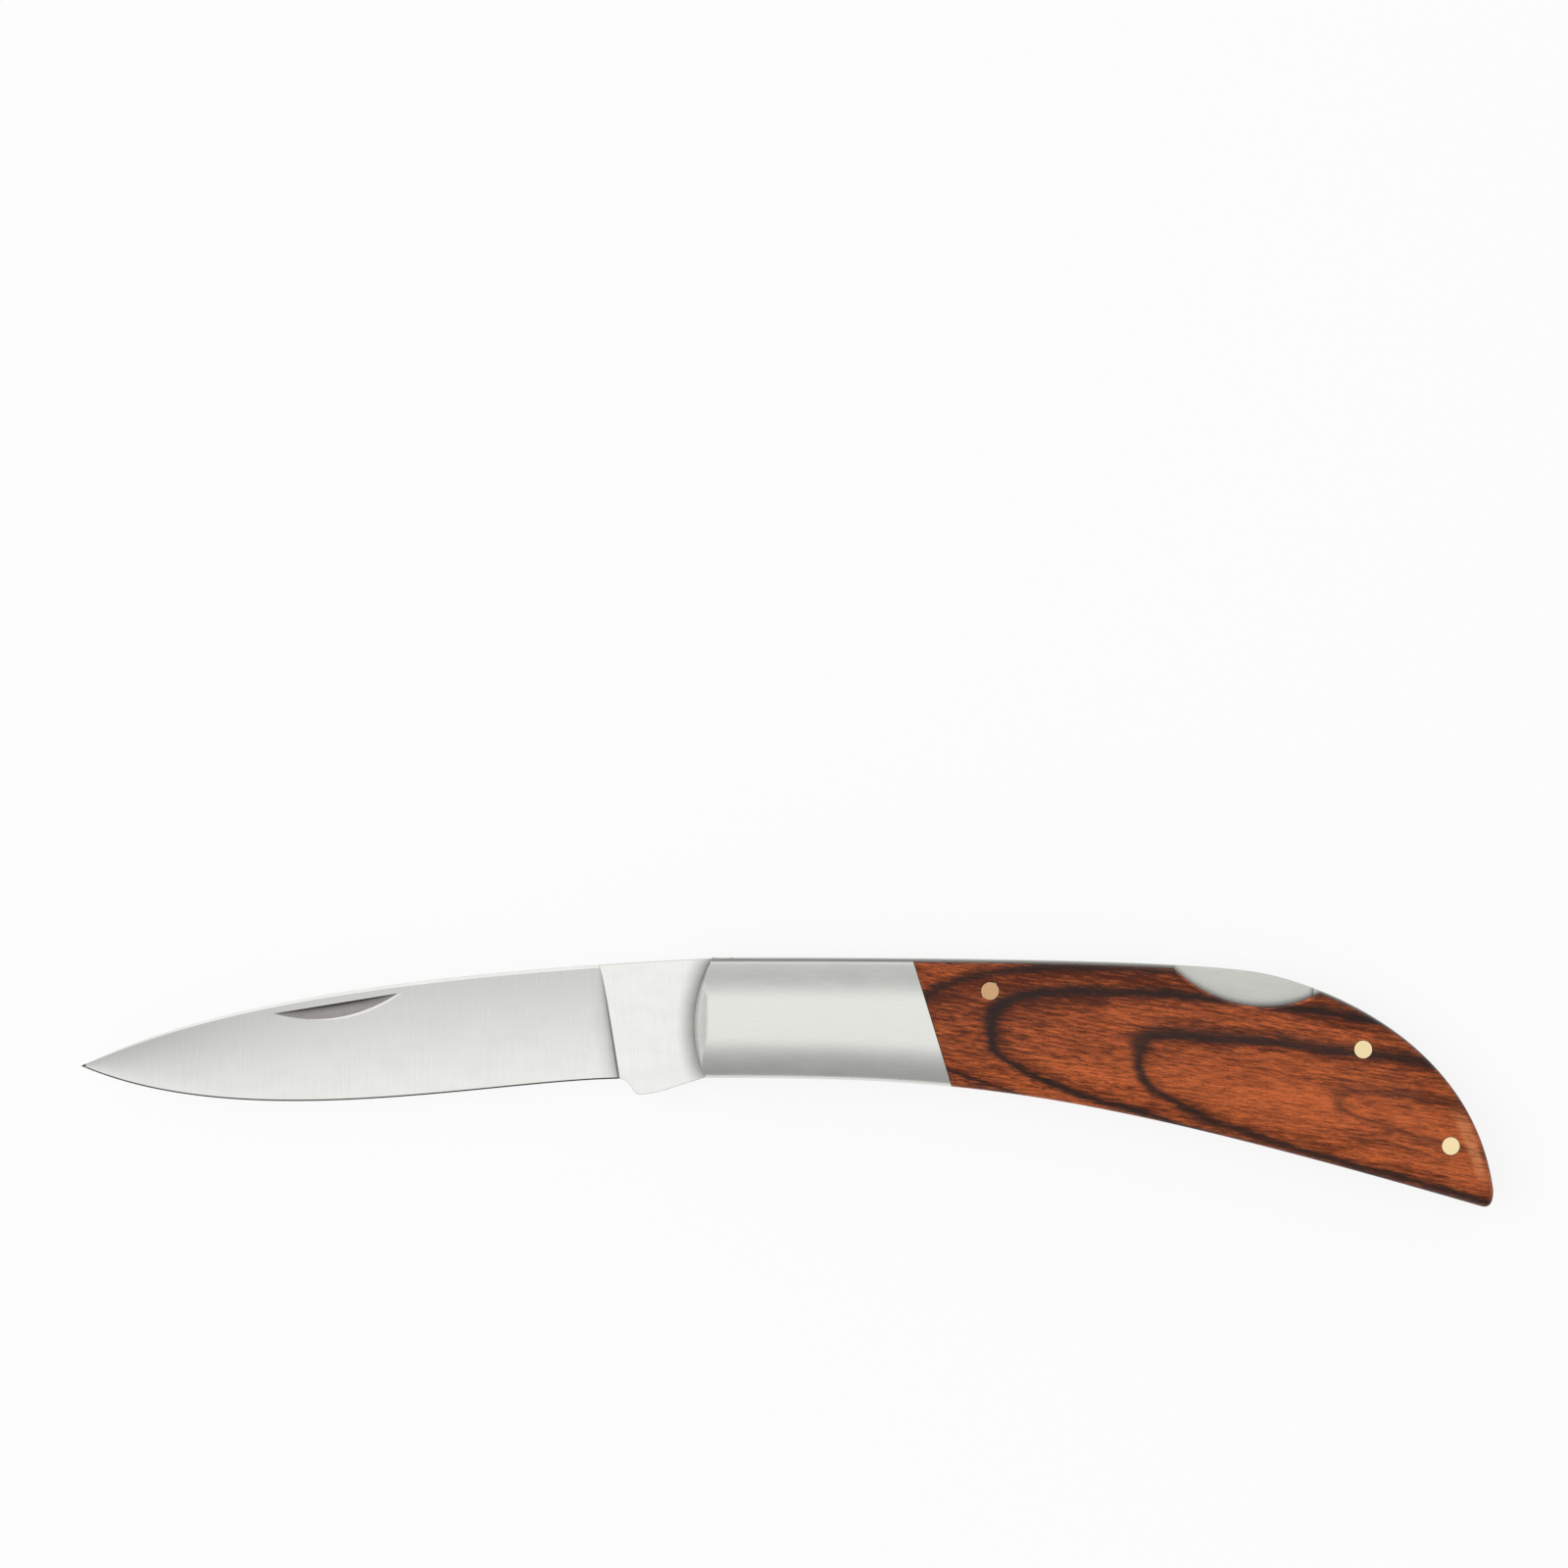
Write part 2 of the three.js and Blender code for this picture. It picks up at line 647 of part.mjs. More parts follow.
function handlePieces() {
  const frame = liner();
  const disc = washer();
  const pieces = [
    piece('right_scale', scale(0), laminatedWood, 0),
    piece('left_scale', scale(leftScaleLevel), laminatedWood, 0),
    piece('right_bolster', bolster(0), satinSteel, 0),
    piece('left_bolster', bolster(leftScaleLevel), satinSteel, 0),
    piece('right_liner', frame, brushedSteel, rightLinerLevel),
    piece('left_liner', frame, brushedSteel, leftLinerLevel),
    piece('right_washer', disc, bronze, slotLevel),
    piece('left_washer', disc, bronze, leftLinerLevel - washerThickness),
    piece('back_spacer', backSpacer(), brushedSteel, slotLevel),
    piece('lock_spring', lockSpring(), springSteel, barLevel),
    piece('pivot_pin', flushPin(pivotRadius, pivot, bolsterBody), satinSteel, 0),
    piece('rocker_pin', flushPin(pinRadius, rocker, handleBody), copper, 0),
    piece('spine_pin', flushPin(pinRadius, spinePin, handleBody), paleBrass, 0),
    piece('butt_pin', flushPin(pinRadius, buttPin, handleBody), paleBrass, 0),
  ];
  for (const [end, reach] of Object.entries(rivetReaches)) {
    pieces.push(piece(`right_${end}_rivet`, bolsterRivet(reach), satinSteel, 0));
    pieces.push(piece(`left_${end}_rivet`, bolsterRivet(reach), satinSteel, leftLinerLevel));
  }
  return pieces;
}

const handleGroup = new THREE.Group();
handleGroup.add(...handlePieces());

const bladeGroup = new THREE.Group();
bladeGroup.add(piece('blade', blade(), satinSteel, bladeLevel));

const lockGroup = new THREE.Group();
lockGroup.position.set(rocker.x, rocker.y, 0);
lockGroup.add(piece('lock_bar', lockBar(), brushedSteel, barLevel, rocker));

const knife = new THREE.Group();
knife.add(handleGroup, bladeGroup, lockGroup);

export default knife;
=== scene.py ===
"""Folding lock-back pocket knife: fine surfaces, finishes, light and camera round its solids.

Shapes are drawn in millimetres in the frame of the solids, and scaled to metres when a piece is
finished.
"""
import math

import bpy
import bmesh
from mathutils import Matrix, Vector
from mathutils.bvhtree import BVHTree

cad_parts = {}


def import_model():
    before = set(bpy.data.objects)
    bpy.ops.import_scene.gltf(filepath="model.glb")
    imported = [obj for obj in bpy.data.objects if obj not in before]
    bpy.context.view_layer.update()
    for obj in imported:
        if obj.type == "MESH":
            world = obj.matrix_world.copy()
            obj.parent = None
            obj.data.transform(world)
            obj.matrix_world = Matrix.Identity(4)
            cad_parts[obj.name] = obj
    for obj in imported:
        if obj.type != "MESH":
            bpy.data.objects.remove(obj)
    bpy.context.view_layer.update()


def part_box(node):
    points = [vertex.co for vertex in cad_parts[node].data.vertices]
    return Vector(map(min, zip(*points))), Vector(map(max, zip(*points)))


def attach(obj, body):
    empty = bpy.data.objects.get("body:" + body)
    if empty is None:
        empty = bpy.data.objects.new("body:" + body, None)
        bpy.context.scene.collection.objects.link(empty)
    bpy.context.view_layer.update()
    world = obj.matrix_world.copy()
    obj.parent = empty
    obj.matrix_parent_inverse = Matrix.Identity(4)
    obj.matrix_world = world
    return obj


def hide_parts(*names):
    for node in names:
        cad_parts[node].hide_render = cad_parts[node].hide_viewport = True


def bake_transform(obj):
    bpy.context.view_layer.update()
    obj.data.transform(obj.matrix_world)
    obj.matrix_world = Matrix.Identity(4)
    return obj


MM = 0.001

# Handle outline, measured from the blade's pivot
BELLY_DEPTH = 5.75
BOLSTER_REACH = 5.9
SHOULDER_INSET = 27.9
SHOULDER_DROP = 1.92
SHOULDER_SLOPE = 0.196
BELLY_SLOPE = 0.29
BUTT_DROP = 21.9
COVER_SETBACK = 0.3
BOLSTER_TOP_X = 2.1 - BOLSTER_REACH
BOLSTER_BOTTOM_X = 1.5 - BOLSTER_REACH
FRONT_TOP_TANGENT = Vector((3.3, 5.2))
FRONT_BOTTOM_TANGENT = Vector((-1.6, 2.1))
BACK_TANGENT = 19.8
SHOULDER_FRONT_TANGENT = 9.53
SHOULDER_REAR_TANGENT = 5.61
BUTT_TANGENT = Vector((-2.57, 19.1))
BUTT_CORNER = Vector((1.5, 2.4))
BELLY_REAR_TANGENT = 50.5
BELLY_FRONT_TANGENT = 31.4

# Crowned faces of bolsters and scales
CROWN_WIDTH = 5.0
CROWN_DEPTH = 1.8
CROWN_SAG = 0.2  # how far the rest of the face falls from its middle line to its rim
CROWN_FRONT = 1.0
CROWN_ARCH = 2.0
CROWN_REAR = Vector((9.9, 10.9))
CROWN_STRETCH = 8.0
CROWN_CLOSING = 0.96  # share of the way to the middle line that the rounding reaches
FRONT_LINE_X = -4.1
FRONT_DEPTH = 1.6
FRONT_LEAST_WIDTH = 0.05
SEAM_REACH = 23.5
SEAM_LEAN = 0.307
SEAM_GAP = 0.07

# Thumb scoop
SCOOP_LENGTH = 19.4
SCOOP_PAST_BAR = 0.55
SCOOP_ENTRY_DROP = 0.3
SCOOP_EXIT_DROP = 3.9
SCOOP_FRONT_TANGENT = Vector((4.54, -5.27))
SCOOP_REAR_TANGENT = Vector((6.87, 3.95))
SCOOP_CHAMFER = 0.28
SCOOP_RUN = 3.0  # how far its cutter runs on past both ends
CHAMFER_RUN = 4  # how far the cutter's slanted walls run on, in widths of the chamfer
CHAMFER_SLANT = (0.2, 0.9)  # least and greatest upward share of its faces' direction
CHAMFER_MATCH = 0.01  # greatest distance of its faces from its cutter
LINER_SCOOP_END = 69.95  # the liners close the gap between lock bar and spacer

# Blade
BLADE_BACK_TANGENT = Vector((58.4, 2.6))
BLADE_BACK_HEIGHT = 8.96
POINT_DROP = 4.36
POINT_BACK_TANGENT = Vector((8.35, 3.51))
POINT_EDGE_TANGENT = Vector((19.8, -8.55))
HEEL_TANGENT = Vector((16.05, 0.26))
HEEL_STEP = 0.2
FOLD_ANGLE = 169
EDGE_THICKNESS = 0.24
BLADE_STRIP = 0.44  # flat strip that the grind leaves along the back
STRIP_FADE_HEIGHT = 8.0  # the strip narrows where the blade is lower than about this
STEEPEST_GRIND = 0.115
GRIND_SOFTNESS = 4  # how suddenly the blade thins where it reaches the steepest grind
BLADE_EASE = 0.08
HOLLOW_START = 0.3  # slope of the hollow grind by the edge, as a share of its mean
LEAST_HEIGHT = 0.02  # of the blade, at the point
LEAST_GRIND = 0.01  # width of the ground face there
BLADE_MARGIN = 2.0  # how far the ground body runs past the blade's outline
SECTION_OVERRUN = 0.6  # and its cross-sections past back and edge
EDGE_BEVEL = 0.18
EDGE_FACING = -0.35  # faces of the edge's bevels look further down than this
DARK_POINT = 0.6  # how far back from the point the steel is painted dark as shade
EDGE_HALF = 0.012  # half the thickness of the honed edge
PLUNGE_BACK_REACH = 17.2
PLUNGE_EDGE_REACH = 15.0
PLUNGE_RUNOUT = 0.5
KICK = Vector((-12.7, -7.85))
KICK_FRONT_TANGENTS = (1.6, 1.0)
KICK_REAR_TANGENT = 2.1
TANG_TANGENT = Vector((4.4, 1.25))
TANG_INSET = 0.05  # of its lower corner, from the bolsters' outline
NICK_LENGTH = 15.6
NICK_DEPTH = 0.6
NICK_WIDTH = 1.8
NICK_LIP = 0.13  # level ledge below the nick
NICK_FROM_POINT = 31.3
NICK_INSET = 1.1
WHEEL_WIDTH = 4 * NICK_WIDTH  # of the wheel that cuts it
NICK_MATCH = 0.002  # greatest distance of its faces from its cutter
CAM_RADIUS = 4.35
NOTCH_DEPTH = 0.85
HOOK_FRONT = -1.2
HOOK_LENGTH = 2.2
SHOULDER_CLEARANCE = 0.2
BEAK_CLEARANCE = 0.1
NOTCH_REAR = HOOK_FRONT + HOOK_LENGTH + BEAK_CLEARANCE
NOTCH_FLOOR = CAM_RADIUS - NOTCH_DEPTH

# Pins
PIVOT_RADIUS = 1.5
PIN_RADIUS = 1.1
PIN_RING = 0.05  # dark ring round each pin
RIVET_RADIUS = 0.9
RIVET_PLACES = ((10.0, 1.4), (18.0, 1.4))
ROCKER_REACH = 30.24
ROCKER_DROP = 3.98
SPINE_PIN_INSET = 16.04
SPINE_PIN_DROP = 11.12
BUTT_PIN_INSET = 5.33
BUTT_PIN_RISE = 7.87
PIN_COVER = 0.35  # from the face of the handle to the hidden ends of pivot pin and rivets

# Eased edges, and room for cutters
PIN_EASE = 0.03
PLATE_EASE = 0.06
EASED_FROM = 40  # angle between faces whose edge is eased
EASE_STEPS = 2
OVERCUT = 1.0
BEYOND = 12.0
CORNER_MERGE = 0.002
FLAT_WITHIN = 0.5

# How finely curves are divided
CURVE_STEPS = 48
BLADE_STEPS = 4 * CURVE_STEPS
CROWN_STEPS = 16
SAG_STEPS = 8
GRIND_SECTIONS = 90
GRIND_STEPS = 18
RUNOUT_STEPS = 30
WHEEL_SIDES = 1440
PIN_SIDES = 64

# Angles between faces that are shaded as a sharp edge
SHARP_PLATE = 18
SHARP_WOOD = 20
SHARP_BLADE = 5

# Camera: straight above, far away for small perspective
VIEW_WIDTH = 192.0
VIEW_CENTRE = Vector((5.04, 30.24))
VIEW_LEVEL = 8.5  # where the view has this width
LENS = 225.0
SENSOR = 36.0


# Curves and meshes

def bezier(a, b, c, d, steps=CURVE_STEPS):
    """Points along a cubic curve, its end left out."""
    points = []
    for i in range(steps):
        t = i / steps
        s = 1 - t
        points.append(a * s ** 3 + 3 * b * s * s * t + 3 * c * s * t * t + d * t ** 3)
    return points


def rounded(a, corner, b, steps=CURVE_STEPS):
    """Points along a curve that heads for a corner from both ends."""
    return bezier(a, a.lerp(corner, 2 / 3), b.lerp(corner, 2 / 3), b, steps)


def arc(radius, start, end, steps=CURVE_STEPS):
    """Points on a circle about the pivot."""
    turns = (start + (end - start) * i / steps for i in range(steps + 1))
    return [Vector((radius * math.cos(a), radius * math.sin(a))) for a in turns]


def circle(radius, sides):
    return arc(radius, 0, 2 * math.pi, sides)[:-1]


def loft(rings):
    """Closed mesh through rings of equally many points, each running anticlockwise."""
    count = len(rings[0])
    points = [point for ring in rings for point in ring]
    faces = [tuple(range(count))[::-1]]
    for ring in range(len(rings) - 1):
        for i in range(count):
            a = ring * count + i
            b = ring * count + (i + 1) % count
            faces.append((a, b, b + count, a + count))
    faces.append(tuple(range(len(points) - count, len(points))))
    mesh = bpy.data.meshes.new("loft")
    mesh.from_pydata(points, [], faces)
    mesh.update()
    return mesh


def prism(outline, low, high):
    """Upright block over an anticlockwise outline."""
    return loft([[(p[0], p[1], level) for p in outline] for level in (low, high)])


def disc(radius, place, low, high):
    ring = [Vector(place) + point for point in circle(radius, PIN_SIDES)]
    return prism(ring, low, high)


def hole(radius, place, low, high):
    """Cutter for a pin's hole, with the dark ring round it."""
    return disc(radius + PIN_RING, place, low, high)


def placed(name, data):
    """A new object in the scene."""
    thing = bpy.data.objects.new(name, data)
    bpy.context.scene.collection.objects.link(thing)
    return thing


def evaluated(mesh, add_modifiers):
    """The mesh after the modifiers that the given function adds to an object of it."""
    holder = placed("holder", mesh)
    helpers = add_modifiers(holder)
    depsgraph = bpy.context.evaluated_depsgraph_get()
    depsgraph.update()
    result = bpy.data.meshes.new_from_object(holder.evaluated_get(depsgraph))
    for helper in [holder, *helpers]:
        bpy.data.objects.remove(helper)
    return result


def combined(mesh, operation, tool):
    """Join or cut two closed meshes."""
    def add(holder):
        cutter = placed("cutter", tool)
        modifier = holder.modifiers.new("boolean", "BOOLEAN")
        modifier.operation = operation
        modifier.solver = "MANIFOLD"
        modifier.object = cutter
        return [cutter]
    return evaluated(mesh, add)


def cut(mesh, *tools):
    for tool in tools:
        mesh = combined(mesh, "DIFFERENCE", tool)
    return mesh


def bevelled(mesh, width):
    def add(holder):
        modifier = holder.modifiers.new("bevel", "BEVEL")
        modifier.width = width
        modifier.segments = EASE_STEPS
        modifier.limit_method = "ANGLE"
        modifier.angle_limit = math.radians(EASED_FROM)
        modifier.miter_outer = "MITER_ARC"
        return []
    return evaluated(mesh, add)


def face_tree(mesh):
    """The faces of a mesh, to be searched by place."""
    return BVHTree.FromPolygons([v.co for v in mesh.vertices], [p.vertices for p in mesh.polygons])


def set_materials(mesh, materials):
    """Put these in place of its own, and keep each face's number."""
    marks = [face.material_index for face in mesh.polygons]
    mesh.materials.clear()
    for material in materials:
        mesh.materials.append(material)
    for face, mark in zip(mesh.polygons, marks):
        face.material_index = mark


def finish_piece(name, mesh, materials, body, nodes, sharp=SHARP_PLATE):
    """Make a mesh drawn in millimetres a piece of the knife that stands for the given solids."""
    mesh.transform(Matrix.Scale(MM, 4))
    mesh.shade_smooth()
    mesh.set_sharp_from_angle(angle=math.radians(sharp))
    set_materials(mesh, materials)
    mesh.name = name
    piece = placed(name, mesh)
    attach(piece, body)
    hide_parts(*nodes)


# Handle

class Handle:
    """Sizes that come from the solids, and the outlines worked out from them."""

    def __init__(self):
        low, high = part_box("left_liner")
        self.reach = high[0] / MM
        self.back = high[1] / MM
        self.left_liner = (low[2] / MM, high[2] / MM)
        low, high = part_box("right_liner")
        self.right_liner = (low[2] / MM, high[2] / MM)
        self.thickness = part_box("left_scale")[1][2] / MM
        low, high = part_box("blade")
        self.blade = (low[2] / MM, high[2] / MM)
        self.blade_reach = -low[0] / MM
        self.spacer_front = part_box("back_spacer")[0][0] / MM
        self.rocker = Vector((ROCKER_REACH, self.back - ROCKER_DROP))
        self.spine_pin = Vector((self.reach - SPINE_PIN_INSET, self.back - SPINE_PIN_DROP))
        self.butt_pin = Vector((self.reach - BUTT_PIN_INSET, BUTT_PIN_RISE - BUTT_DROP))
        self.body = self.crowned_body()
        self.faces = face_tree(self.body)

    def face_level(self, x, y):
        """Height of the crowned left face, or of its rim beside the handle."""
        hit = self.faces.ray_cast((x, y, 3 * self.thickness), (0, 0, -1))[0]
        return hit.z if hit else self.thickness - CROWN_DEPTH

    def front_edge(self, setback, stretch=0.0):
        """Curve of the bolsters' front end, from the belly to the back."""
        top = Vector((BOLSTER_TOP_X - stretch, self.back - setback))
        bottom = Vector((BOLSTER_BOTTOM_X - stretch, -BELLY_DEPTH))
        return bottom, bottom + FRONT_BOTTOM_TANGENT, top - FRONT_TOP_TANGENT, top

    def outline(self, setback, stretch=0.0):
        """Anticlockwise, its back lowered by the setback and its front moved on by the stretch."""
        front = self.front_edge(setback, stretch)
        back = front[3].y
        start = Vector((BOLSTER_TOP_X, back))
        shoulder = Vector((self.reach - SHOULDER_INSET, back - SHOULDER_DROP))
        rise = Vector((-1, SHOULDER_SLOPE))
        butt_top = Vector((self.reach, BUTT_CORNER.y - BUTT_DROP))
        corner = Vector((self.reach, -BUTT_DROP))
        butt_bottom = corner + BUTT_CORNER.x * Vector((-1, BELLY_SLOPE))
        belly = Vector((BOLSTER_BOTTOM_X, -BELLY_DEPTH))
        points = [front[3]] if stretch > 0 else []
        points += bezier(start, start + Vector((BACK_TANGENT, 0)),
                         shoulder + SHOULDER_FRONT_TANGENT * rise, shoulder)
        points += bezier(shoulder, shoulder - SHOULDER_REAR_TANGENT * rise,
                         butt_top + BUTT_TANGENT, butt_top)
        points += rounded(butt_top, corner, butt_bottom, CURVE_STEPS // 4)
        points += bezier(butt_bottom, butt_bottom + BELLY_REAR_TANGENT * Vector((-1, BELLY_SLOPE)),
                         belly + Vector((BELLY_FRONT_TANGENT, 0)), belly, 2 * CURVE_STEPS)
        if stretch > 0:
            points.append(belly)
        points += bezier(*front, CURVE_STEPS // 2)
        return points[::-1]

    def middle_line(self, stretch):
        """Line along the handle towards which its faces rise."""
        start = Vector((CROWN_FRONT, (self.back - BELLY_DEPTH) / 2))
        bend = Vector((self.reach / 2, CROWN_ARCH))
        end = Vector((self.reach - CROWN_REAR.x, CROWN_REAR.y - BUTT_DROP))
        line = rounded(start, bend, end) + [end]
        return [start - Vector((stretch, 0)), *line] if stretch > 0 else line

    def crowned_body(self, stretch=0.0):
        """Both faces rounded down from the middle line to the outline."""
        outline = self.outline(COVER_SETBACK, stretch)
        line = self.middle_line(stretch)
        targets = [nearest_on(line, point) for point in outline]
        spans = [(target - point).length for point, target in zip(outline, targets)]
        rings = []
        for step in range(CROWN_STEPS + SAG_STEPS):
            ring = []
            for point, target, span in zip(outline, targets, spans):
                inset, drop = crown_profile(step, span)
                place = point.lerp(target, inset / span)
                ring.append((place.x, place.y, drop))
            rings.append(ring)
        return self.mirrored(rings)

    def mirrored(self, rings):
        """Body through its right face's rings, from the rim inwards, and their mirror image."""
        left = [[(x, y, self.thickness - z) for x, y, z in ring] for ring in rings]
        return loft(rings[::-1] + left)

    def fronted_body(self):
        """Everything behind the bolsters' rounded front."""
        front = self.front_edge(COVER_SETBACK)
        edge = bezier(*front)[::-1]
        top = edge[0] + Vector((0, BEYOND))
        bottom = edge[-1] - Vector((0, BEYOND))
        points = [top, *edge, bottom]
        far = SEAM_REACH + 2 * BEYOND
        rings = []
        for step in range(CROWN_STEPS + 1):
            angle = step / CROWN_STEPS * math.pi / 2
            share = 1 - math.cos(angle)
            level = FRONT_DEPTH * (1 - math.sin(angle))
            ring = [(far, bottom.y, level), (far, top.y, level)]
            for p in points:
                width = max(FRONT_LINE_X - p.x, FRONT_LEAST_WIDTH)
                ring.append((p.x + share * width, p.y, level))
            rings.append(ring)
        return self.mirrored(rings)

    def seam_block(self, side, low, high):
        """Block in front of the seam (side -1) or behind it (side 1)."""
        top = self.back + BEYOND
        bottom = -BUTT_DROP - BEYOND
        far = -BOLSTER_REACH - BEYOND if side < 0 else self.reach + BEYOND
        seam = SEAM_REACH + side * SEAM_GAP / 2
        outline = [(far, top), (seam - top * SEAM_LEAN, top), (seam - bottom * SEAM_LEAN, bottom),
                   (far, bottom)]
        return prism(outline[::-1] if side < 0 else outline, low, high)

    def scoop_line(self):
        """Edge of the thumb scoop, from the front to the spacer."""
        end = Vector((self.spacer_front + SCOOP_PAST_BAR, self.back - SCOOP_EXIT_DROP))
        start = Vector((end.x - SCOOP_LENGTH, self.back - SCOOP_ENTRY_DROP))
        return bezier(start, start + SCOOP_FRONT_TANGENT, end - SCOOP_REAR_TANGENT, end) + [end]

    def liner(self, low, high):
        """Plate with the scoop and the holes cut out."""
        blank = prism(self.outline(0.0), low, high)
        line = self.scoop_line()
        top = self.back + BEYOND
        inside = [p for p in line if p.x < LINER_SCOOP_END]
        lead = line[0] - SCOOP_RUN * (line[1] - line[0]).normalized()
        end = Vector((LINER_SCOOP_END, height_at(line, LINER_SCOOP_END)))
        opening = [Vector((lead.x, top)), lead, *inside, end, Vector((end.x, top))]
        reach = (low - OVERCUT, high + OVERCUT)
        tools = [prism(opening, *reach), hole(PIVOT_RADIUS, (0, 0), *reach)]
        tools += [hole(PIN_RADIUS, pin, *reach) for pin in self.pins()]
        tools += [hole(RIVET_RADIUS, place, *reach) for place in RIVET_PLACES]
        return cut(blank, *tools)

    def pins(self):
        return [self.rocker, self.spine_pin, self.butt_pin]


def nearest_on(line, point):
    """Point of a bent line that lies nearest to another."""
    best = None
    for a, b in zip(line, line[1:]):
        along = max(0.0, min(1.0, (point - a).dot(b - a) / (b - a).length_squared))
        place = a.lerp(b, along)
        if best is None or (place - point).length < (best - point).length:
            best = place
    return best


def crown_profile(step, span):
    """Distance in from the outline and depth below the face at a step of the crown."""
    if step <= CROWN_STEPS:
        angle = step / CROWN_STEPS * math.pi / 2
        inset = CROWN_WIDTH * (1 - math.cos(angle))
        drop = CROWN_DEPTH * (1 - math.sin(angle))
    else:
        share = CROWN_CLOSING * (step - CROWN_STEPS) / (SAG_STEPS - 1)
        inset = CROWN_WIDTH + (span - CROWN_WIDTH) * share
        drop = 0.0
    return inset, drop + CROWN_SAG * (1 - inset / span) ** 2


# Covers

def scoop_cutter(handle):
    """Block that opens the thumb scoop, with a chamfer that follows the crowned faces."""
    line = handle.scoop_line()
    top = handle.back + BEYOND
    height = handle.thickness
    rings = []
    for i, point in enumerate(line):
        before = line[max(i - 1, 0)]
        after = line[min(i + 1, len(line) - 1)]
        along = (after - before).normalized()
        inward = Vector((along.y, -along.x))
        low = handle.face_level(*point) - SCOOP_CHAMFER
        rise = handle.face_level(*(point + SCOOP_CHAMFER * inward)) - low
        wide = point + CHAMFER_RUN * SCOOP_CHAMFER * inward
        high = low + CHAMFER_RUN * rise
        rings.append([
            (point.x, top, height - high),
            (point.x, top, high),
            (*wide, high),
            (*point, low),
            (*point, height - low),
            (*wide, height - high),
        ])
    first = moved(rings[0], -SCOOP_RUN * (line[1] - line[0]).normalized())
    last = moved(rings[-1], SCOOP_RUN * (line[-1] - line[-2]).normalized())
    return loft([first, *rings, last])


def moved(ring, step):
    """A ring of the cutter, shifted level."""
    return [(x + step.x, y + step.y, z) for x, y, z in ring]


def mark_chamfer(mesh, cutter):
    """Give the second material to the faces that the slanted walls of the scoop's cutter left."""
    tree = face_tree(cutter)
    least, greatest = CHAMFER_SLANT
    for face in mesh.polygons:
        slanted = least < abs(face.normal.z) < greatest
        face.material_index = int(slanted and tree.find_nearest(face.center)[3] < CHAMFER_MATCH)


def make_covers(handle, wood, highlit_edge_wood, metal):
    """A wood scale and a bolster on each side."""
    scoop = scoop_cutter(handle)
    bolsters = combined(handle.crowned_body(CROWN_STRETCH), "INTERSECT", handle.fronted_body())
    right_seat = handle.right_liner[0]
    left_seat = handle.left_liner[1]
    face = handle.thickness
    sides = (
        ("right", (-OVERCUT, right_seat), (PIN_COVER, right_seat + OVERCUT)),
        ("left", (left_seat, face + OVERCUT), (left_seat - OVERCUT, face - PIN_COVER)),
    )
    for side, levels, hole_levels in sides:
        make_scale(side, handle, scoop, levels, [wood, highlit_edge_wood])
        make_bolster(side, handle, bolsters, levels, hole_levels, metal)


def make_scale(side, handle, scoop, levels, woods):
    """The second wood, painted lighter as a highlight, goes to the chamfer along the thumb scoop.
    """
    low, high = levels
    blank = combined(handle.body, "INTERSECT", handle.seam_block(1, low, high))
    holes = [hole(PIN_RADIUS, pin, low - OVERCUT, high + OVERCUT) for pin in handle.pins()]
    mesh = cut(blank, scoop, *holes)
    mark_chamfer(mesh, scoop)
    finish_piece(f"{side}_wood_scale", mesh, woods, "handle", [f"{side}_scale"],
                 SHARP_WOOD)


def make_bolster(side, handle, bolsters, levels, hole_levels, metal):
    """The holes for rivets and pivot pin end short of the face."""
    blank = combined(bolsters, "INTERSECT", handle.seam_block(-1, *levels))
    holes = [hole(RIVET_RADIUS, place, *hole_levels) for place in RIVET_PLACES]
    holes.append(hole(PIVOT_RADIUS, (0, 0), *hole_levels))
    finish_piece(f"{side}_crowned_bolster", cut(blank, *holes), [metal],
                 "handle", [f"{side}_bolster"])


# Blade

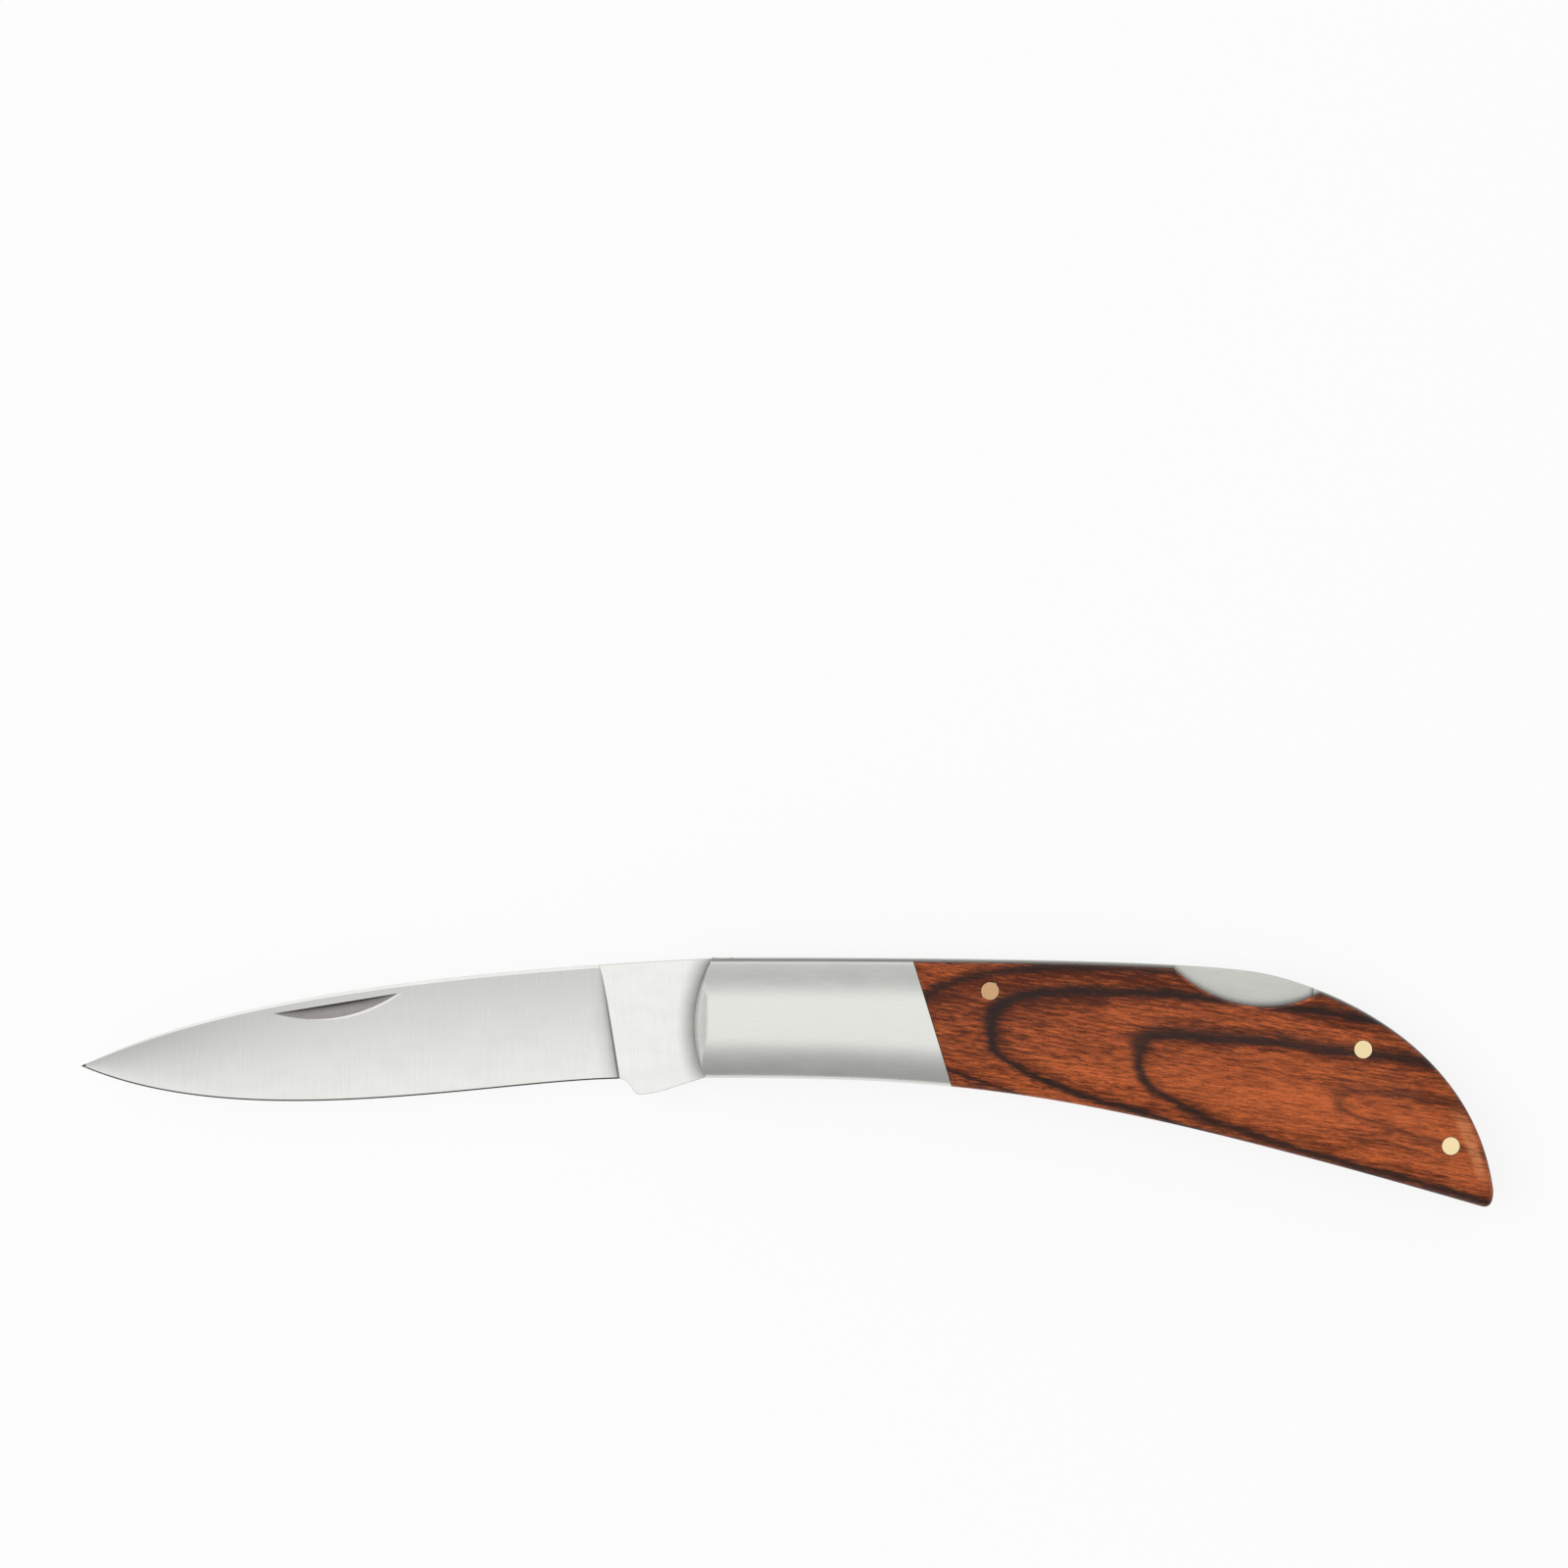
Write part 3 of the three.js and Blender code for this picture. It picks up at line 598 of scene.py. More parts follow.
class Blade:
    """The ground blade, drawn in its open place."""

    def __init__(self, handle):
        self.handle = handle
        self.low, self.high = handle.blade
        self.middle = (self.low + self.high) / 2
        self.thickness = self.high - self.low
        self.point = Vector((-handle.blade_reach, -POINT_DROP))
        self.shoulder = Vector((HOOK_FRONT - SHOULDER_CLEARANCE, BLADE_BACK_HEIGHT))
        self.heel = Vector((-PLUNGE_EDGE_REACH - HEEL_STEP, -BELLY_DEPTH - HEEL_STEP))
        self.back = bezier(self.shoulder, self.shoulder - BLADE_BACK_TANGENT,
                           self.point + POINT_BACK_TANGENT, self.point, BLADE_STEPS) + [self.point]
        self.edge = bezier(self.point, self.point + POINT_EDGE_TANGENT,
                           self.heel - HEEL_TANGENT, self.heel, BLADE_STEPS) + [self.heel]

    def outline(self):
        corner = Vector((BOLSTER_BOTTOM_X, TANG_INSET - BELLY_DEPTH))
        start = math.atan2(corner.y, corner.x) + math.acos(CAM_RADIUS / corner.length)
        front, rear = KICK_FRONT_TANGENTS
        return [
            *self.back[:-1],
            *self.edge[:-1],
            *bezier(self.heel, self.heel + Vector((front, 0)), KICK - Vector((rear, 0)), KICK),
            *bezier(KICK, KICK + Vector((KICK_REAR_TANGENT, 0)), corner - TANG_TANGENT, corner),
            corner,
            *arc(CAM_RADIUS, start, math.acos(NOTCH_REAR / CAM_RADIUS)),
            Vector((NOTCH_REAR, NOTCH_FLOOR)),
            Vector((self.shoulder.x, NOTCH_FLOOR)),
        ]

    def grind(self, height):
        """Width of the ground face and how much it takes off half the thickness."""
        strip = BLADE_STRIP * (1 - math.exp(-height / STRIP_FADE_HEIGHT))
        width = max(height - strip, LEAST_GRIND)
        land = (self.thickness - EDGE_THICKNESS) / 2
        steepest = STEEPEST_GRIND * width
        softened = land ** -GRIND_SOFTNESS + steepest ** -GRIND_SOFTNESS
        return width, softened ** (-1 / GRIND_SOFTNESS)

    def half_thickness(self, above, height):
        """Half the thickness at a distance above the edge, for a blade of the given height."""
        width, land = self.grind(height)
        share = min(above / width, 1)
        return EDGE_THICKNESS / 2 + land * (HOLLOW_START * share + (1 - HOLLOW_START) * share ** 2)

    def section(self, edge, back, fade):
        """Cross-section of the ground blade, where a fade of 1 leaves it unground."""
        height = max(back.y - edge.y, LEAST_HEIGHT)
        width = self.grind(height)[0]
        bevel = min(EDGE_BEVEL, width / 4)
        heights = [bevel + (width - bevel) * step / GRIND_STEPS for step in range(GRIND_STEPS + 1)]
        heights.append(height + SECTION_OVERRUN)
        points = []
        for above in [-SECTION_OVERRUN, 0.0, *heights]:
            half = self.half_thickness(above, height) if above > 0 else EDGE_HALF
            x = edge.x + (back.x - edge.x) * above / height
            points.append((x, edge.y + above, half + (self.thickness - half) * fade))
        lower = [(x, y, self.middle - half) for x, y, half in points]
        upper = [(x, y, self.middle + half) for x, y, half in points]
        return lower + upper[::-1]

    def ground_body(self):
        """The grind's faces: none at the tang, run out at the plunge, closing to the point."""
        tall = self.handle.back + BLADE_MARGIN
        deep = KICK.y - BLADE_MARGIN
        tang_end = CAM_RADIUS + BLADE_MARGIN
        rings = [
            self.section(Vector((tang_end, deep)), Vector((tang_end, tall)), 1),
            self.section(Vector((-PLUNGE_EDGE_REACH, deep)), Vector((-PLUNGE_BACK_REACH, tall)), 1),
        ]
        for i in range(1, RUNOUT_STEPS):
            turn = i / RUNOUT_STEPS * math.pi / 2
            x = PLUNGE_RUNOUT * (1 - math.cos(turn))
            fade = 1 - math.sin(turn)
            rings.append(self.ground_section(-PLUNGE_EDGE_REACH - x, -PLUNGE_BACK_REACH - x, fade))
        starts = (self.heel.x - PLUNGE_RUNOUT, -PLUNGE_BACK_REACH - PLUNGE_RUNOUT)
        for i in range(GRIND_SECTIONS):
            t = math.sin(i / GRIND_SECTIONS * math.pi / 2)
            places = [start + (self.point.x - start) * t for start in starts]
            rings.append(self.ground_section(*places, 0))
        tip = self.point - Vector((BLADE_MARGIN, 0))
        rings.append(self.section(tip, tip, 0))
        return loft(rings[::-1])  # turned round, so that its faces look outwards

    def ground_section(self, edge_x, back_x, fade):
        edge = Vector((edge_x, height_at(self.edge, min(edge_x, self.heel.x))))
        back = Vector((back_x, height_at(self.back, back_x)))
        return self.section(edge, back, fade)

    def nick_wheels(self):
        """One for the level lip, and a coned one that leaves a curved lower edge."""
        middle = NICK_FROM_POINT - self.handle.blade_reach
        ends = [height_at(self.back, middle + side * NICK_LENGTH / 2) for side in (-1, 1)]
        top = sum(ends) / 2 - NICK_INSET
        bottom = height_at(self.edge, middle)
        height = height_at(self.back, middle) - bottom
        level = self.half_thickness(top - bottom, height)
        lip_fall = level - self.half_thickness(top - NICK_WIDTH - NICK_LIP - bottom, height)
        slope = lip_fall / (NICK_WIDTH + NICK_LIP)
        wheels = []
        for depth, taper in ((lip_fall, 0.0), (NICK_DEPTH, NICK_DEPTH / NICK_WIDTH - slope)):
            radius = (NICK_LENGTH ** 2 / 4 + depth ** 2) / (2 * depth)
            wheel = loft([[(p.x, y, p.y) for p in circle(radius + taper * y, WHEEL_SIDES)]
                          for y in (0, -WHEEL_WIDTH)])
            tilt = Matrix.Rotation(math.atan((ends[1] - ends[0]) / NICK_LENGTH), 4, "Z")
            axis_level = self.middle + level - depth + radius
            wheel.transform(Matrix.Translation((middle, top, axis_level)) @ tilt)
            wheels.append(wheel)
        return wheels

    def closing_flat(self):
        """Cutter for the flat of the tang that meets the lock bar when the blade is folded."""
        top = CAM_RADIUS + BEYOND
        corners = [(-CAM_RADIUS, NOTCH_FLOOR), (NOTCH_REAR, NOTCH_FLOOR), (NOTCH_REAR, top),
                   (-CAM_RADIUS, top)]
        block = prism(corners, 0, BEYOND)
        block.transform(Matrix.Rotation(-math.radians(FOLD_ANGLE), 4, "Z"))
        return block

    def mesh(self):
        """The second material goes to the nick, the third, painted dark as shade, to the cutting
        edge and the point.
        """
        blank = eased_prism(self.outline(), self.low, self.high, BLADE_EASE)
        ground = combined(blank, "INTERSECT", self.ground_body())
        pivot_hole = hole(PIVOT_RADIUS, (0, 0), 0, self.handle.thickness)
        lip, wheel = self.nick_wheels()
        mesh = cut(ground, lip, wheel, self.closing_flat(), pivot_hole)
        tree = face_tree(wheel)
        for face in mesh.polygons:
            at_edge = face.center.x < self.heel.x and face.normal.y < EDGE_FACING
            at_point = face.center.x < self.point.x + DARK_POINT
            if at_edge or at_point:
                face.material_index = 2
            elif tree.find_nearest(face.center)[3] < NICK_MATCH:
                face.material_index = 1
        return mesh


def eased_prism(outline, low, high, ease):
    """Upright block whose rim is eased, over an anticlockwise outline."""
    inner = []
    for i, point in enumerate(outline):
        before = (point - outline[i - 1]).normalized()
        after = (outline[(i + 1) % len(outline)] - point).normalized()
        along = (before + after).normalized()
        inner.append(point + ease * Vector((-along.y, along.x)))
    rings = ((inner, low), (outline, low + ease), (outline, high - ease), (inner, high))
    return loft([[(p[0], p[1], level) for p in ring] for ring, level in rings])


def height_at(line, x):
    """Height of a line at a place along the knife."""
    for a, b in zip(line, line[1:]):
        if (a.x - x) * (b.x - x) <= 0 and a.x != b.x:
            return a.y + (b.y - a.y) * (x - a.x) / (b.x - a.x)
    raise ValueError(f"the line has no point at {x}")


def make_blade(handle, metal, nick_metal, shaded_edge_metal):
    finish_piece("ground_blade", Blade(handle).mesh(), [metal, nick_metal, shaded_edge_metal],
                 "blade", ["blade"], SHARP_BLADE)


# Flat plates and washers

def merged_copy(node):
    """The mesh of a solid in millimetres, with its corners merged and its flat faces whole."""
    work = bmesh.new()
    work.from_mesh(bpy.data.objects[node].data)
    bmesh.ops.scale(work, vec=(1 / MM, 1 / MM, 1 / MM), verts=work.verts)
    bmesh.ops.remove_doubles(work, verts=work.verts, dist=CORNER_MERGE)
    bmesh.ops.dissolve_limit(work, angle_limit=math.radians(FLAT_WITHIN), verts=work.verts,
                             edges=work.edges)
    mesh = bpy.data.meshes.new(node)
    work.to_mesh(mesh)
    work.free()
    return mesh


def make_liners(handle, metal):
    """Plates with scoop and holes, their sheared edges eased."""
    for side, levels in (("left", handle.left_liner), ("right", handle.right_liner)):
        finish_piece(f"{side}_liner_plate", bevelled(handle.liner(*levels), PLATE_EASE), [metal],
                     "handle", [f"{side}_liner"])


def colour_washers(bronze):
    """The washers keep the form of their solids."""
    for side in ("left", "right"):
        set_materials(bpy.data.objects[f"{side}_washer"].data, [bronze])


def make_plate(name, node, metal, body):
    """A plate with its sheared edges eased."""
    mesh = bevelled(merged_copy(node), PLATE_EASE)
    finish_piece(name, mesh, [metal], body, [node])


def make_lock_spring(metal):
    """The leaf, from its root in the spacer to its tip under the lock bar, in the form of its
    solid.
    """
    mesh = merged_copy("lock_spring")
    mesh.transform(Matrix.Scale(MM, 4))
    set_materials(mesh, [metal])
    piece = placed("lock_spring_leaf", mesh)
    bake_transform(piece)
    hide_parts("lock_spring")


# Pins, made by one tree of nodes

def pin_tree(material):
    """Upright pins of one size, one on each point of the incoming mesh."""
    tree = bpy.data.node_groups.new("upright pins", "GeometryNodeTree")
    inputs = {"Places": "Geometry", "Radius": "Float", "Length": "Float", "Sides": "Int"}
    for name, kind in inputs.items():
        tree.interface.new_socket(name, in_out="INPUT", socket_type=f"NodeSocket{kind}")
    tree.interface.new_socket("Pins", in_out="OUTPUT", socket_type="NodeSocketGeometry")
    kinds = ("NodeGroupInput", "GeometryNodeMeshCylinder", "GeometryNodeInstanceOnPoints",
             "GeometryNodeRealizeInstances", "GeometryNodeSetMaterial", "NodeGroupOutput")
    start, pin, spread, real, finish, end = (tree.nodes.new(kind) for kind in kinds)
    finish.inputs["Material"].default_value = material
    links = (
        (start, "Radius", pin, "Radius"), (start, "Length", pin, "Depth"),
        (start, "Sides", pin, "Vertices"), (start, "Places", spread, "Points"),
        (pin, "Mesh", spread, "Instance"), (spread, "Instances", real, "Geometry"),
        (real, "Geometry", finish, "Geometry"), (finish, "Geometry", end, "Pins"),
    )
    for source, output, target, entry in links:
        tree.links.new(source.outputs[output], target.inputs[entry])
    return tree


def pins(material, radius, low, high, places):
    """Mesh of the pins, with the tree's modifier applied."""
    tree = pin_tree(material)
    values = {"Radius": radius, "Length": high - low, "Sides": PIN_SIDES}

    def add(holder):
        modifier = holder.modifiers.new("pins", "NODES")
        modifier.node_group = tree
        for item in tree.interface.items_tree:
            if item.name in values:
                modifier[item.identifier] = values[item.name]
        return []

    points = bpy.data.meshes.new("pin places")
    points.from_pydata([(x, y, (low + high) / 2) for x, y in places], [], [])
    return evaluated(points, add)


def trimmed(handle, mesh, places):
    """Pins cut off level with the crowned faces round each of them."""
    reach = PIN_RADIUS
    blocks = []
    for place in places:
        sides = [handle.face_level(place.x + dx, place.y + dy)
                 for dx, dy in ((-reach, 0), (reach, 0), (0, -reach), (0, reach))]
        lean = Vector((sides[1] - sides[0], sides[3] - sides[2])) / (2 * reach)
        corners = [2 * reach * Vector(corner) for corner in ((-1, -1), (1, -1), (1, 1), (-1, 1))]
        top = [(*(place + corner), sum(sides) / 4 + lean.dot(corner)) for corner in corners]
        bottom = [(x, y, handle.thickness - z) for x, y, z in top]
        blocks.append(loft([bottom, top]))
    block = blocks[0]
    for other in blocks[1:]:
        block = combined(block, "UNION", other)
    return combined(mesh, "INTERSECT", block)


def make_scale_pins(name, handle, metal, places, nodes):
    """Pins through both scales, ground level with them."""
    long_pins = pins(metal, PIN_RADIUS, -OVERCUT, handle.thickness + OVERCUT, places)
    mesh = bevelled(trimmed(handle, long_pins, places), PIN_EASE)
    finish_piece(name, mesh, [metal], "handle", nodes)


def make_hidden_pins(handle, metal):
    """The pivot pin and the bolsters' rivets, whose ends lie under the bolsters' faces."""
    low = PIN_COVER + PIN_EASE
    high = handle.thickness - low
    pivot = pins(metal, PIVOT_RADIUS, low, high, [(0, 0)])
    finish_piece("hidden_pivot_pin", bevelled(pivot, PIN_EASE), [metal],
                 "handle", ["pivot_pin"])
    ends = {"right": (low, handle.right_liner[1]), "left": (handle.left_liner[0], high)}
    for side, levels in ends.items():
        rivets = bevelled(pins(metal, RIVET_RADIUS, *levels, RIVET_PLACES), PIN_EASE)
        finish_piece(f"{side}_bolster_rivets", rivets, [metal], "handle",
                     [f"{side}_front_rivet", f"{side}_rear_rivet"])


# Shader maths

def both_ways(operation):
    """Methods for a sum with the value first, and with it second."""
    def first(self, other):
        return self.shader.sum(operation, self, other)

    def second(self, other):
        return self.shader.sum(operation, other, self)

    return first, second


class Value:
    """A shader socket on which sums can be written."""

    __add__, __radd__ = both_ways("ADD")
    __sub__, __rsub__ = both_ways("SUBTRACT")
    __mul__, __rmul__ = both_ways("MULTIPLY")
    __truediv__, __rtruediv__ = both_ways("DIVIDE")
    __pow__ = both_ways("POWER")[0]

    def __init__(self, shader, socket):
        self.shader = shader
        self.socket = socket

    def __abs__(self):
        return self.shader.sum("ABSOLUTE", self)


class Shader:
    """The nodes of one material, or of the world."""

    def __init__(self, holder):
        holder.use_nodes = True
        self.holder = holder
        self.tree = holder.node_tree
        self.tree.nodes.clear()

    def node(self, kind, values=None, output=0, **settings):
        node = self.tree.nodes.new(kind)
        for name, value in settings.items():
            setattr(node, name, value)
        for name, value in (values or {}).items():
            socket = pick(node.inputs, name)
            if isinstance(value, Value):
                self.tree.links.new(value.socket, socket)
            else:
                socket.default_value = value
        return Value(self, pick(node.outputs, output)) if node.outputs else None

    def sum(self, operation, *terms):
        values = dict(zip(("Value", "Value_001"), terms))
        return self.node("ShaderNodeMath", values, operation=operation)

    def greatest(self, values):
        total = values[0]
        for value in values[1:]:
            total = self.sum("MAXIMUM", total, value)
        return total

    def step(self, value, low, high):
        """Smoothly from 0 at the low value to 1 at the high one."""
        return self.node("ShaderNodeMapRange", {"Value": value, "From Min": low, "From Max": high},
                         interpolation_type="SMOOTHSTEP")

    def blend(self, share, first, second, kind="MIX"):
        values = {"Factor_Float": share, "A_Color": first, "B_Color": second}
        return self.node("ShaderNodeMix", values, "Result_Color", data_type="RGBA", blend_type=kind)

    def grey(self, value):
        values = dict.fromkeys(("Red", "Green", "Blue"), value)
        return self.node("ShaderNodeCombineColor", values)

    def part(self, vector, axis):
        return self.node("ShaderNodeSeparateXYZ", {"Vector": vector}, axis)

    def place(self):
        """Object coordinates in millimetres."""
        source = self.node("ShaderNodeTexCoord", output="Object")
        scaled = self.node("ShaderNodeVectorMath", {"Vector": source, "Scale": 1 / MM},
                           operation="SCALE")
        return [self.part(scaled, axis) for axis in "XYZ"]

    def noise(self, x, y, z, size=(1, 1, 1), detail=2.0, rough=0.5, warp=0.0):
        """Noise whose grains have the given size in millimetres along each direction."""
        vector = self.node("ShaderNodeCombineXYZ",
                           {"X": x / size[0], "Y": y / size[1], "Z": z / size[2]})
        return self.node("ShaderNodeTexNoise",
                         {"Vector": vector, "Scale": 1.0, "Detail": detail, "Roughness": rough,
                          "Distortion": warp})

    def facing(self, axis):
        """How far the surface faces along an axis of the knife, from -1 to 1."""
        return self.part(self.node("ShaderNodeTexCoord", output="Normal"), axis)

    def rim(self):
        """1 on the steep outermost part of a crowned face, along the back and the butt, where shade
        is painted as a dark line.
        """
        steep = 1 - self.step(abs(self.facing("Z")), 0.3, 0.65)
        outward = self.sum("MAXIMUM", self.facing("X"), self.facing("Y"))
        return steep * self.step(outward, 0.15, 0.5)

    def butt_highlight(self, y):
        """1 on the crown at the butt where it faces along the knife, where a paler painted
        highlight goes.
        """
        out = self.facing("X")
        crown = self.step(out, 0.2, 0.36) * (1 - self.step(out, 0.48, 0.7))
        return crown * (1 - self.step(y, -13.0, -8.0)) * self.step(y, -20.0, -16.0)

    def bump(self, height, depth):
        return self.node("ShaderNodeBump",
                         {"Height": height, "Distance": depth * MM, "Strength": 1.0})

    def surface(self, values):
        shader = self.node("ShaderNodeBsdfPrincipled", values)
        self.node("ShaderNodeOutputMaterial", {"Surface": shader})
        return self.holder


def pick(sockets, name):
    if isinstance(name, int):
        return sockets[name]
    for socket in sockets:
        if socket.identifier == name:
            return socket
    return sockets[name]


def new_shader(name):
    return Shader(bpy.data.materials.new(name))


def srgb(red, green, blue):
    """Linear colour of an 8-bit display colour that isn't near black."""
    return (*(((value / 255 + 0.055) / 1.055) ** 2.4 for value in (red, green, blue)), 1)


# Finishes

BAND_LOOPS = (
    # apex along and up the face, slope of the axis, reach and bluntness above it and below it,
    # half width, strength
    (20.0, -1.2, -0.33, (4.4, 2.35), (1.5, 8.0), 0.62, 0.9),
    (30.4, -1.0, -0.225, (4.2, 3.4), (2.0, 3.25), 0.78, 1.0),
    (47.9, -2.5, -0.195, (1.8, 3.1), (3.45, 3.55), 0.86, 0.95),
    (72.6, -8.5, -0.23, (1.3, 3.0), (1.0, 3.0), 0.7, 0.45),
)
LAYER_LEAN = 0.35  # how far the wood's layers lean along the handle, through its thickness
LAYER_OFFSET = 3.67
BLACK_WOOD = srgb(40, 27, 24)
DARK_WOOD = srgb(84, 34, 15)
RED_WOOD = srgb(198, 99, 50)
PORE_WOOD = srgb(62, 28, 18)
BUTT_HIGHLIGHT_WOOD = srgb(216, 136, 88)
RIM_SHADE_WOOD = srgb(44, 26, 22)


def steel(name, tint, brightness, roughness, lines, cloud=0.05, corner_shade=(2.4, 1.6), rim=0.0,
          specks=0.0):
    """Brushed steel: the size of its brush lines along X and Y, how cloudy it is, the reach and
    power of the shade painted in its corners, how dark the shade painted on its steep rim is, and
    how dark its specks are."""
    shader = new_shader(name)
    x, y, z = shader.place()
    brushed = shader.noise(x, y, z, (lines[0], lines[1], 1.5), 3.0, 0.6)
    clouds = shader.noise(x, y, z, (5, 2.5, 5), 4.0, 0.62)
    # ambient occlusion darkens the colour: shade painted in corners and recesses
    corners = shader.node("ShaderNodeAmbientOcclusion", {"Distance": corner_shade[0] * MM}, "AO",
                          samples=16)
    uneven = 1 + 0.16 * (brushed - 0.5) + cloud * 2 * (clouds - 0.5)
    light = brightness * uneven * corners ** corner_shade[1]
    # painted shade: the steep rim along the back and butt darkened
    if rim > 0:
        light = light * (1 - rim * shader.rim())
    if specks > 0:
        spots = shader.noise(x, y, z, (0.14, 0.1, 0.14), 2.0, 0.6)
        light = light * (1 - specks * shader.step(spots, 0.62, 0.74))
    colour = shader.blend(1.0, shader.grey(light), (*tint, 1), "MULTIPLY")
    return shader.surface({
        "Base Color": colour,
        "Metallic": 1.0,
        "Roughness": roughness + 0.12 * (clouds - 0.5),
        "Normal": shader.bump(brushed, 0.002),
    })


def bolster_steel():
    """Satin, brushed along the handle, with shade painted on its steep rim."""
    return steel("bolster steel", (1.0, 1.0, 0.955), 0.72, 0.28, lines=(3.0, 0.12), cloud=0.1,
                 rim=0.6)


def blade_steel():
    """Satin, brushed across the blade, with shade painted in its corners, as on the ricasso before
    the bolsters.
    """
    return steel("blade steel", (1.0, 1.0, 0.965), 0.76, 0.26, lines=(0.11, 4.0), cloud=0.02)


def nick_steel():
    """Left rough and a little tarnished by the cutter, and painted darker as the shade in the
    recess.
    """
    return steel("nail nick steel", (1.0, 0.93, 0.93), 0.42, 0.4, lines=(0.9, 0.25), cloud=0.3,
                 corner_shade=(0.9, 1.4))


def shaded_edge_steel():
    """Painted shade: as dark as a honed edge and the point look from above."""
    return steel("cutting edge steel painted dark", (1.0, 0.98, 0.97), 0.13, 0.45, lines=(0.5, 0.5), cloud=0.1)


def frame_steel():
    """Lock bar, liners and spacer."""
    return steel("frame steel", (1.0, 1.0, 0.94), 0.64, 0.36, lines=(2.0, 0.3), cloud=0.08,
                 corner_shade=(0.7, 1.2), specks=0.35)


def spring_steel():
    return steel("spring steel", (1.0, 0.99, 0.97), 0.4, 0.4, lines=(1.5, 0.15), cloud=0.1,
                 corner_shade=(0.7, 1.2))


def pin_metal(name, colour):
    """Polished pins with fine scratches and a few specks."""
    shader = new_shader(name)
    x, y, z = shader.place()
    scratches = shader.noise(x, y, z, (1.2, 0.07, 1), 2.0, 0.6, 0.3)
    specks = shader.noise(x, y, z, (0.25, 0.25, 0.25), 2.0, 0.6)
    darker = shader.step(specks, 0.66, 0.74) * 0.25
    shade = shader.grey(1 + 0.14 * (scratches - 0.5) - darker)
    return shader.surface({
        "Base Color": shader.blend(1.0, (*colour, 1), shade, "MULTIPLY"),
        "Metallic": 1.0,
        "Roughness": 0.3 + 0.15 * (scratches - 0.5),
        "Normal": shader.bump(scratches, 0.003),
    })


def band_loops(shader, x, y, z):
    """Dark bands in nested loops, and the lighter glow inside each."""
    sway = shader.noise(x, y, z, (9, 5, 9), 2.0, 0.5)
    feather = shader.noise(x, y + 0.16 * x, z, (1.6, 0.2, 2), 3.0, 0.7)
    swell = shader.noise(x, y, z, (6, 3, 6), 2.0, 0.5)
    bands = []
    glows = []
    for apex, height, slope, above, below, width, strength in BAND_LOOPS:
        along = x + LAYER_LEAN * z - LAYER_OFFSET - apex + 2.0 * (sway - 0.5)
        across = y - height - slope * (x - apex) + 1.0 * (sway - 0.5)
        upper = shader.sum("GREATER_THAN", across, 0.0)
        reach = below[0] + (above[0] - below[0]) * upper
        bluntness = below[1] + (above[1] - below[1]) * upper
        share = abs(across) / reach
        steep = bluntness * share ** (bluntness - 1) / reach
        spread = 1 + steep * steep
        half = width * (0.6 + 0.3 * upper + 0.4 / spread) * (0.5 + swell)
        distance = (along - share ** bluntness) / spread ** 0.5 + 1.5 * (feather - 0.5)
        bands.append((1 - shader.step(abs(distance) / half, 0.2, 1.6)) * strength)
        inside = shader.step(distance, -0.3, 0.3) * (1 - shader.step(distance, 0.3, 3.4))
        glows.append(inside * strength)
    return shader.greatest(bands), shader.greatest(glows)


def laminated_wood(name, lightness=1.0):
    """Resin-filled wood: dark bands in nested loops, short dark pores and orange streaks."""
    shader = new_shader(name)
    x, y, z = shader.place()
    dark, glow = band_loops(shader, x, y, z)
    leaning = y + 0.15 * x
    pores = shader.noise(x, leaning, z, (1.3, 0.14, 1.0), 2.0, 0.6)
    streaks = shader.noise(x, leaning, z, (2.6, 0.3, 4), 3.0, 0.65)
    broad = shader.noise(x, leaning, z, (20, 3.2, 10), 2.0, 0.5)
    mottle = shader.noise(x, y, z, (0.3, 0.2, 0.3), 2.0, 0.6)
    rear = shader.step(x, 34.0, 62.0)
    near_back = shader.step(y + 0.2 * x, 4.0, 13.0)
    warm = 2.6 * (streaks - 0.5) + 1.6 * (broad - 0.5) + 0.47
    warm = warm + 0.1 * rear - 0.3 * near_back - 0.4 * glow
    field = shader.blend(shader.step(warm, -0.4, 1.1), DARK_WOOD, RED_WOOD)
    pore = shader.step(pores, 0.49, 0.63)
    field = shader.blend((0.7 - 0.25 * rear) * pore, field, PORE_WOOD)
    field = shader.blend(1.0, field, shader.grey(1 + 0.9 * (mottle - 0.5)), "MULTIPLY")
    colour = shader.blend(0.95 * dark, field, BLACK_WOOD)
    # painted highlight: paler wood on the crown at the butt
    colour = shader.blend(shader.butt_highlight(y) * (2.4 * streaks - 0.6), colour, BUTT_HIGHLIGHT_WOOD)
    # painted shade: a dark line on the wood's steep rim along the back and butt
    colour = shader.blend(0.75 * shader.rim(), colour, RIM_SHADE_WOOD)
    # a lightness above 1 paints a highlight, as on the thumb scoop's chamfer
    colour = shader.blend(1.0, colour, (lightness, lightness, lightness, 1), "MULTIPLY")
    return shader.surface({
        "Base Color": colour,
        "Roughness": 0.34 + 0.2 * (mottle - 0.5) + 0.1 * pore,
        "Specular IOR Level": 0.16,
        "Coat Weight": 0.05,
        "Coat Roughness": 0.12,
        "Normal": shader.bump(0 - pore - 0.5 * mottle, 0.006),
    })


def washer_bronze():
    shader = new_shader("washer bronze")
    x, y, z = shader.place()
    rubbed = shader.noise(x, y, z, (0.6, 0.6, 0.6), 3.0, 0.6)
    return shader.surface({
        "Base Color": shader.blend(rubbed, (0.36, 0.2, 0.08, 1), (0.56, 0.34, 0.14, 1)),
        "Metallic": 1.0,
        "Roughness": 0.35 + 0.2 * rubbed,
    })


# Camera, light and floor

